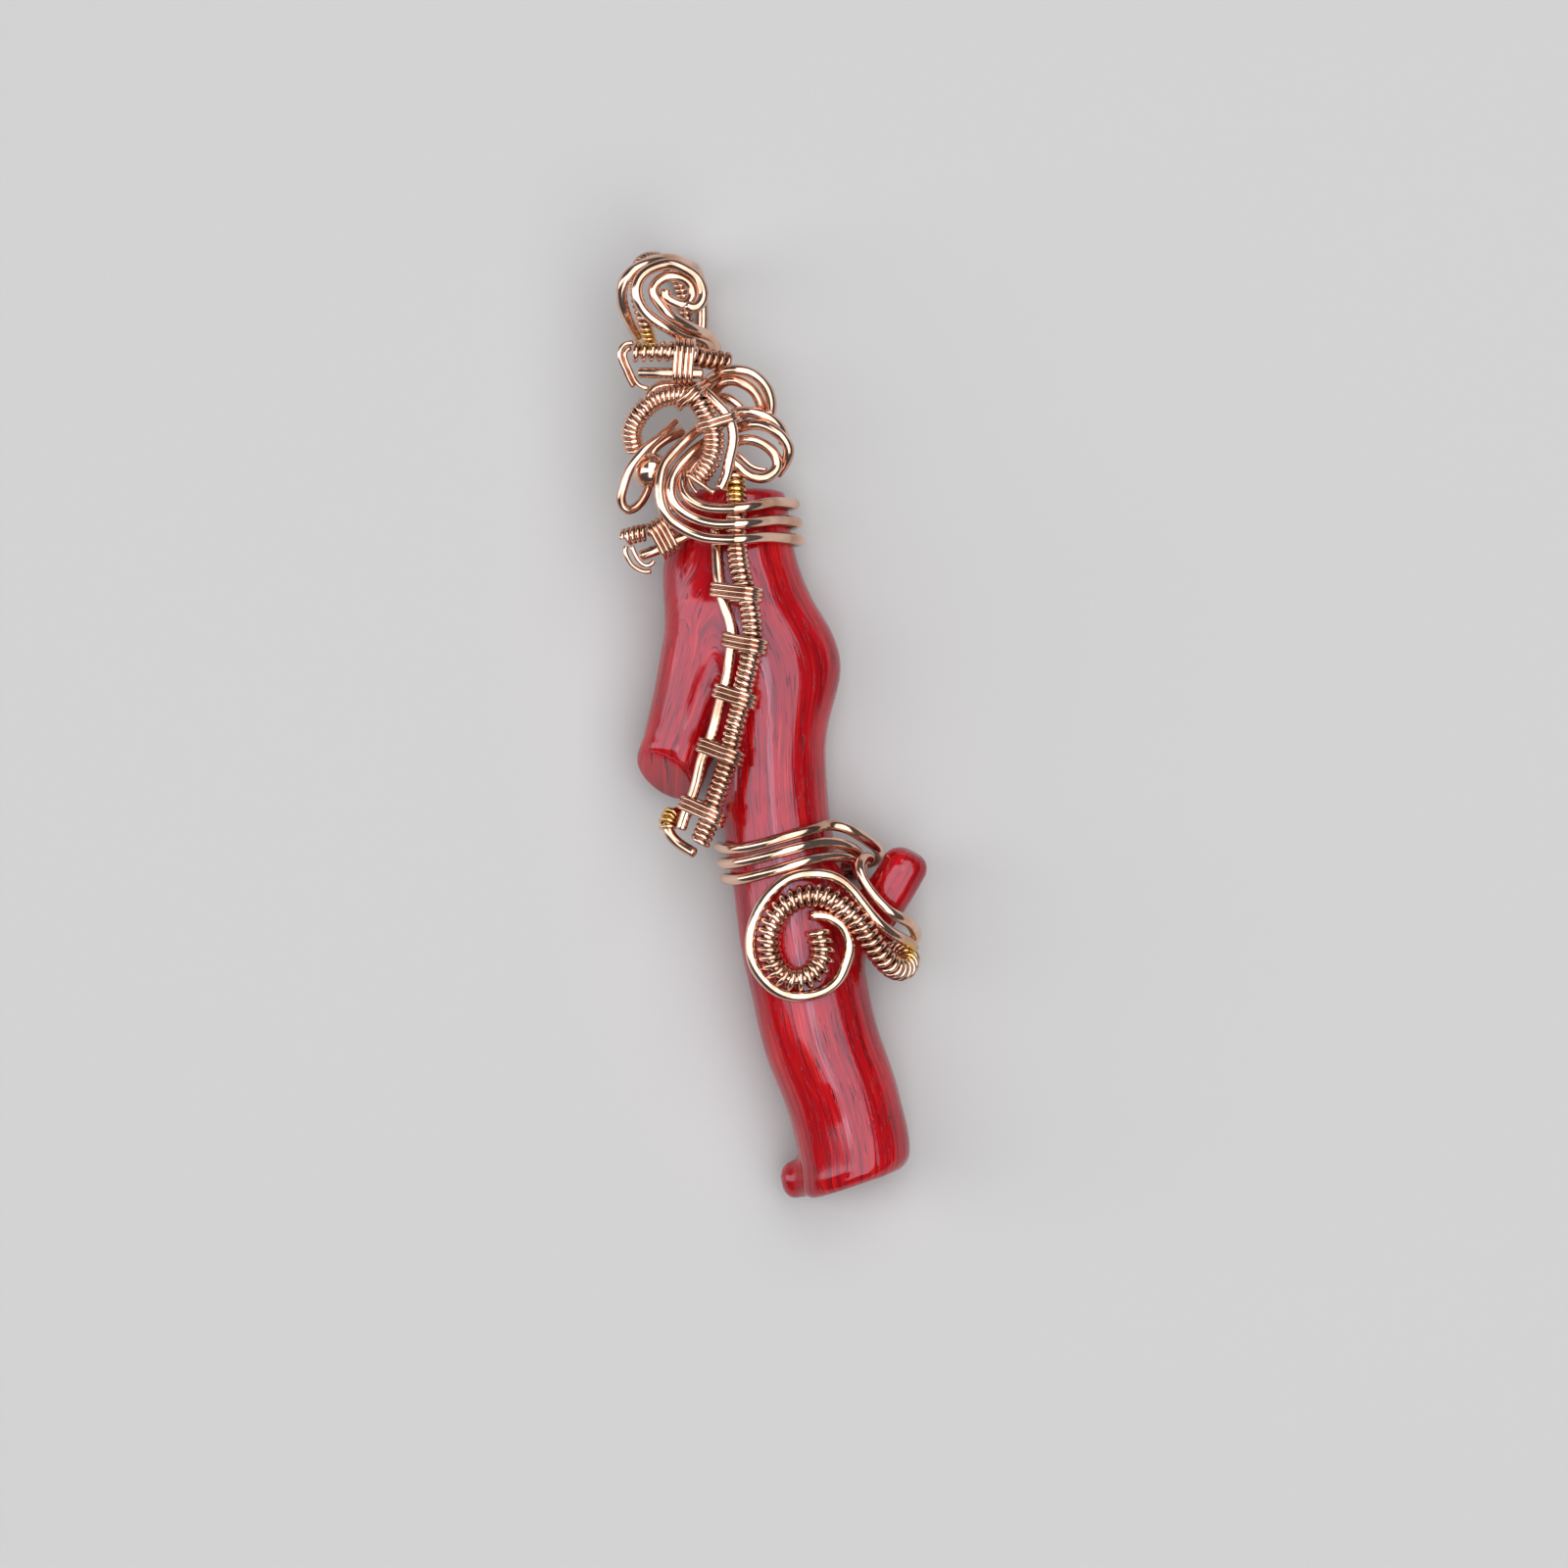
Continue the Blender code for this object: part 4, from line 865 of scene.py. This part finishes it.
addWire("cross_bar_loop_outer", ["top_bar_loop_outer"], topBar["loopOuter"], fineWire)
addWire("cross_bar_loop_inner", ["top_bar_loop_inner"], topBar["loopInner"], fineWire)

bail = {
    "coil": [
        (-9.75, 30.25, 6.6), (-10.1, 31.35, 7.5), (-10.55, 32.95, 8.3), (-11.05, 34.55, 8.3),
        (-11.2, 35.7, 8.2), (-11.05, 36.65, 7.9), (-10.65, 37.45, 7.0), (-10.0, 37.85, 5.8),
        (-9.3, 37.85, 4.0), (-8.6, 37.45, 2.3), (-8.0, 36.7, 1.1), (-7.6, 35.6, 0.7),
        (-7.3, 34.15, 0.65), (-7.15, 32.55, 0.65), (-7.3, 31.1, 0.9), (-7.85, 30.1, 1.7),
    ],
    "coilOuter": 1.2,
    "core": 0.4,
    "pitch": 0.46,
    "side": [
        (-10.95, 31.4, 6.5), (-11.5, 32.35, 7.4), (-12.0, 33.4, 8.3), (-12.25, 34.7, 9.1),
        (-11.95, 35.9, 9.6), (-11.2, 36.7, 9.6), (-10.1, 37.25, 9.2), (-8.95, 37.6, 8.3),
        (-7.85, 37.6, 7.0), (-6.95, 37.35, 5.2), (-6.45, 37.2, 3.3), (-6.15, 36.6, 1.7),
        (-5.95, 35.6, 0.85), (-5.85, 34.4, 0.55), (-5.85, 32.8, 0.55), (-6.1, 31.35, 0.7),
        (-6.7, 30.25, 1.4),
    ],
    "swirlOuter": [
        (-4.55, 29.45, 4.8), (-4.9, 30.1, 5.5), (-5.2, 30.55, 6.3), (-5.9, 30.9, 7.2),
        (-7.2, 31.3, 8.1), (-8.5, 31.95, 9.1), (-9.7, 32.7, 9.6), (-10.65, 33.65, 9.9),
        (-11.05, 34.8, 10.0), (-10.9, 35.7, 10.0), (-10.25, 36.5, 10.0), (-9.3, 36.95, 10.1),
        (-8.25, 37.1, 10.2), (-7.2, 36.7, 10.3), (-6.3, 36.1, 10.4), (-5.75, 35.1, 10.5),
        (-5.75, 34.15, 10.6), (-6.4, 33.55, 10.7), (-7.1, 33.75, 10.7),
    ],
    "swirlInner": [
        (-4.7, 30.6, 4.2), (-4.95, 31.15, 5.2), (-5.45, 31.6, 6.4), (-6.5, 32.0, 7.9),
        (-7.7, 32.6, 8.9), (-8.65, 33.3, 9.5), (-9.3, 34.1, 9.6), (-9.7, 35.05, 9.6),
        (-9.3, 35.75, 9.6), (-8.3, 36.15, 9.6), (-7.2, 35.9, 9.6), (-6.55, 35.2, 9.6),
        (-6.65, 34.3, 9.6), (-7.3, 33.85, 9.6), (-7.9, 34.0, 9.6), (-8.65, 34.5, 9.6),
        (-8.65, 35.1, 9.6),
    ],
}
addCoil("bail_winding", ["bail_coil"], bail["coil"], bail["coilOuter"], bail["core"], bail["pitch"])
addWire("bail_plain_wire", ["bail_side_wire"], bail["side"])
addWire("bail_scroll_outer", ["bail_swirl_outer"], bail["swirlOuter"])
addWire("bail_scroll_inner", ["bail_swirl_inner"], bail["swirlInner"])
print("cross bar and bail done")

# The strand down the front

strand = {
    "outer": 1.75,
    "pitch": 0.5,
    "winding": 0.46,
    "coilLift": 1.5,           # from the coral's skin to the middle of the coil
    "wireLift": (0.5, 0.9),    # the same for the wire, under the sweeps and below them
    "coilTop": [
        (-3.45, 20.6, 7.4), (-3.2, 19.75, 8.3), (-3.05, 18.55, 8.8), (-3.05, 17.35, 9.2),
        (-3.05, 16.15, 9.5), (-2.95, 14.0, 9.95),
    ],
    "coilFront": [
        (-2.65, 12.15), (-2.1, 10.15), (-1.75, 8.15), (-1.75, 6.55), (-2.0, 4.95), (-2.4, 3.35), (-2.7, 1.75),
    ],
    "coilFoot": [
        (-3.2, -0.25, 10.3), (-3.6, -2.25, 9.9), (-4.15, -4.25, 9.5), (-4.7, -5.85, 9.2),
        (-5.2, -7.45, 8.9), (-6.0, -9.45, 8.5),
    ],
    "wireTop": [(-4.7, 15.9), (-4.6, 14.15), (-4.45, 11.85), (-4.05, 9.9), (-3.4, 7.7), (-3.5, 5.85)],
    "wireFoot": [
        (-3.85, 3.6, 10.3), (-4.4, 1.6, 10.1), (-5.0, -0.7, 9.8), (-5.8, -2.7, 9.5), (-6.15, -4.25, 9.2),
        (-6.6, -5.7, 8.9), (-7.2, -7.35, 8.5), (-7.5, -8.3, 8.3),
    ],
    "end": [
        (-6.4, -10.25, 8.2), (-7.05, -9.85, 7.9), (-7.9, -9.25, 7.6), (-8.45, -8.5, 7.5),
        (-8.55, -7.85, 7.3), (-8.3, -7.2, 6.8), (-7.6, -6.9, 5.8), (-6.9, -7.0, 4.6),
    ],
    "hookTurns": [(-8.5, -8.25, 7.42), (-8.55, -7.85, 7.3), (-8.45, -7.45, 7.02), (-8.22, -7.12, 6.7)],
    "hookTurnsOuter": 1.6,
    "hookTurnsCore": 0.8,
    "hookTurnsPitch": 0.4,
    "hookTurnsWire": 0.36,
    # anchor and slant of the turns in degrees
    "bindings": [((-3.35, 10.7), -5), ((-2.6, 6.6), -9), ((-3.2, 2.4), -15), ((-4.5, -2.0), -18),
                 ((-6.0, -6.7), -22)],
    "bindingTurns": 3,
}
lowLift, highLift = strand["wireLift"]
strandCoilRoute = strand["coilTop"] + onFront(strand["coilFront"], strand["coilLift"]) + strand["coilFoot"]
strandWireRoute = onFront(strand["wireTop"][:2], lowLift)
strandWireRoute += onFront(strand["wireTop"][2:], highLift) + strand["wireFoot"]
addCoil("strand_winding", ["strand_coil"], strandCoilRoute, strand["outer"], thickWire, strand["pitch"],
        strand["winding"])
addWire("strand_plain_wire", ["strand_wire"], strandWireRoute)
addWire("strand_hook", ["strand_end"], strand["end"])
addCoil("strand_hook_turns", [], strand["hookTurns"], strand["hookTurnsOuter"], strand["hookTurnsCore"],
        strand["hookTurnsPitch"], strand["hookTurnsWire"])
held = [(strandCoilRoute, strand["outer"] / 2), (strandWireRoute, thickWire / 2)]
for k, (anchor, slant) in enumerate(strand["bindings"]):
    number = str(k + 1)
    addBinding("strand_tie_" + number, ["strand_binding_" + number], held, anchor, slant,
               strand["bindingTurns"])

# The short cross bar at the upper left

sideBar = {
    "coil": [(-10.35, 15.6, 8.4), (-11.1, 15.45, 8.2), (-12.0, 15.2, 7.75)],
    "outer": 1.5,
    "core": 0.7,
    "pitch": 0.43,
    "upper": [(-10.2, 15.65, 8.5), (-9.3, 15.85, 8.6), (-8.5, 16.15, 8.5), (-7.7, 16.5, 8.3)],
    "lower": [(-10.75, 13.7, 8.4), (-9.7, 14.1, 8.6), (-8.64, 14.56, 8.5), (-7.7, 15.05, 8.3),
              (-6.9, 15.5, 8.25)],
    "binding": ((-8.95, 15.3), -58, 4),
    "slack": 0.05,
    "loopOuter": [
        (-11.9, 14.5, 8.8), (-11.98, 14.1, 8.8), (-11.8, 13.55, 8.8), (-11.46, 13.0, 8.7),
        (-10.97, 12.65, 8.6), (-10.4, 12.45, 8.5), (-9.9, 12.5, 8.4),
    ],
    "loopInner": [
        (-11.46, 14.5, 9.3), (-11.23, 13.94, 9.3), (-10.97, 13.42, 9.3), (-10.66, 13.05, 9.3),
        (-10.31, 12.9, 9.3), (-9.96, 12.98, 9.3), (-9.65, 13.3, 9.3),
    ],
}
addCoil("side_bar_winding", ["side_bar_coil"], sideBar["coil"], sideBar["outer"], sideBar["core"],
        sideBar["pitch"])
addWire("side_bar_leg_upper", ["side_bar_wire_upper"], sideBar["upper"])
addWire("side_bar_leg_lower", ["side_bar_wire_lower"], sideBar["lower"])
held = [(sideBar["upper"], thickWire / 2), (sideBar["lower"], thickWire / 2)]
addBinding("side_bar_tie", ["side_bar_wrap"], held, *sideBar["binding"], sideBar["slack"])
addWire("side_bar_hook_outer", ["side_bar_loop_outer"], sideBar["loopOuter"], fineWire)
addWire("side_bar_hook_inner", ["side_bar_loop_inner"], sideBar["loopInner"], fineWire)
print("strand and side bar done")

# The waist, the wire round the stub and the swirl

waist = {
    # turns on the coral as (angle, height), between them the ends that stand free at the right
    "turns": [
        [(-75, -9.9), (-105, -9.9), (-135, -9.9), (-165, -9.8), (172, -9.7), (150, -9.85),
         (125, -9.75), (100, -9.3), (75, -8.7), (50, -8.2), (30, -7.95)],
        [(5.95, -8.25, 6.9), (7.1, -8.9, 6.1), (8.25, -9.75, 5.0), (8.6, -10.5, 3.6),
         (7.9, -11.0, 2.2), (6.4, -11.1, 1.0)],
        [(-65, -11.0), (-90, -10.9), (-115, -10.95), (-140, -11.0), (-167, -11.05), (170, -11.05),
         (148, -11.05), (122, -10.75), (97, -10.25), (72, -9.7), (48, -9.35)],
        [(5.9, -9.65, 7.2), (6.75, -10.2, 6.1), (7.1, -10.95, 4.9), (7.0, -11.7, 3.3), (6.2, -12.1, 1.5)],
        [(-70, -12.2), (-95, -12.1), (-120, -12.15), (-145, -12.25), (-170, -12.3), (165, -12.3),
         (140, -12.3), (115, -11.9), (90, -11.35), (65, -10.75), (42, -10.5)],
        [(6.2, -10.75, 6.9), (6.65, -11.35, 6.0), (6.8, -11.95, 5.0)],
    ],
    "stub": [
        (7.75, -10.7, 6.5), (7.25, -10.65, 7.8), (6.9, -11.3, 8.7), (7.3, -12.55, 9.1),
        (8.15, -13.75, 9.2), (9.2, -14.8, 9.2), (10.1, -15.35, 8.6), (10.95, -15.9, 7.2),
        (11.45, -16.65, 5.6), (11.35, -17.3, 4.0), (10.7, -17.45, 2.6), (9.45, -17.3, 1.5),
        (8.0, -17.05, 0.8), (6.25, -16.9, 0.45), (4.4, -16.8, 0.4),
    ],
}
waistRoute = []
for k, part in enumerate(waist["turns"]):
    waistRoute += part if k % 2 else around(part, seat)
addWire("waist_turns", ["waist_wire"], waistRoute)
addWire("stub_loop", ["stub_wire"], waist["stub"])

swirl = {
    "height": 10.05,
    "outer": 2.05,
    "pitch": 0.66,
    "winding": 0.5,
    "wireIn": [
        (11.3, -17.9, 6.2), (10.95, -17.5, 7.0), (10.25, -17.05, 8.0), (9.2, -16.4, 9.1), (7.9, -15.2, 9.9),
    ],
    "wireTurn": [
        (7.0, -14.1), (5.7, -12.65), (4.3, -11.95), (3.05, -11.85), (1.45, -12.1), (0.0, -13.05),
        (-1.1, -14.5), (-1.75, -16.15), (-1.9, -17.9), (-1.6, -19.2), (-0.8, -20.4), (0.4, -21.35),
        (1.95, -21.7), (3.5, -21.45), (4.55, -20.9), (5.35, -20.0), (5.85, -18.8), (6.1, -17.7),
        (5.9, -16.85), (5.45, -16.05), (4.7, -15.5), (3.85, -15.2), (2.95, -15.2),
    ],
    "coilIn": [
        (9.3, -18.5, 2.7), (9.9, -18.35, 3.3), (10.5, -18.4, 4.2), (10.8, -18.8, 5.2),
        (10.55, -19.45, 6.5), (9.9, -19.5, 7.6), (9.2, -19.05, 8.6), (8.3, -18.0, 9.4), (7.45, -16.7, 9.9),
    ],
    "coilTurn": [
        (6.6, -15.5), (5.75, -14.8), (5.0, -14.1), (3.7, -13.6), (2.35, -13.7), (1.05, -14.3),
        (0.1, -15.35), (-0.4, -16.7), (-0.4, -18.1), (0.0, -19.2), (0.9, -20.15), (2.1, -20.3),
        (3.15, -19.75), (3.85, -18.7), (3.85, -17.5), (3.5, -16.4),
    ],
}
swirlWireRoute = swirl["wireIn"] + [(x, y, swirl["height"]) for x, y in swirl["wireTurn"]]
swirlCoilRoute = swirl["coilIn"] + [(x, y, swirl["height"]) for x, y in swirl["coilTurn"]]
addWire("scroll_wire", ["swirl_wire"], swirlWireRoute)
addCoil("scroll_winding", ["swirl_coil"], swirlCoilRoute, swirl["outer"], thickWire, swirl["pitch"],
        swirl["winding"])
print("waist and swirl done")

# Floor, light and camera

studio = {
    "floor": (0.56, 0.55, 0.54),
    "floorRoughness": 0.7,
    "floorHalf": 1.5,
    "fill": (0.09, 0.095, 0.11),
    "lampColour": (0.97, 0.98, 1.0),
    # place and size in metres, power in watts; the main lamp looks straight down, the other at the pendant
    "lamps": {
        "main": {"at": (0.38, 0.0, 1.0), "size": (1.1, 2.2), "power": 17.0},
        "left": {"at": (-0.5, 0.0, 0.42), "size": (0.3, 1.5), "power": 3.4},
    },
    "cameraHeight": 0.6,
    "lens": 168.75,
    "clipStart": 0.01,
    "aim": (0.8, -4.64),
}


def makeStudio(s=studio):
    scene = bpy.context.scene
    made, tree, shader = newMaterial("pale_floor")
    shader.inputs["Base Color"].default_value = (*s["floor"], 1)
    shader.inputs["Roughness"].default_value = s["floorRoughness"]
    mesh = bpy.data.meshes.new("floor")
    half = s["floorHalf"]
    corners = [(-half, -half, 0), (half, -half, 0), (half, half, 0), (-half, half, 0)]
    mesh.from_pydata(corners, [], [(0, 1, 2, 3)])
    mesh.materials.append(made)
    floor = bpy.data.objects.new("floor", mesh)
    scene.collection.objects.link(floor)
    for name, lamp in s["lamps"].items():
        light = bpy.data.lights.new("softbox_" + name, "AREA")
        light.shape = "RECTANGLE"
        light.size, light.size_y = lamp["size"]
        light.energy = lamp["power"]
        light.color = s["lampColour"]
        box = bpy.data.objects.new("softbox_" + name, light)
        box.location = lamp["at"]
        if name != "main":
            box.rotation_euler = (-Vector(lamp["at"])).to_track_quat("-Z", "Y").to_euler()
        scene.collection.objects.link(box)
    world = bpy.data.worlds.new("studio")
    world.use_nodes = True
    world.node_tree.nodes["Background"].inputs["Color"].default_value = (*s["fill"], 1)
    scene.world = world
    lensData = bpy.data.cameras.new("camera")
    lensData.lens = s["lens"]
    lensData.clip_start = s["clipStart"]
    camera = bpy.data.objects.new("camera", lensData)
    x, y = (np.array(s["aim"]) + shift[:2]) * mm
    camera.location = (x, y, s["cameraHeight"])
    scene.collection.objects.link(camera)
    scene.camera = camera
    scene.view_settings.view_transform = "Standard"


makeStudio()
print("studio done")
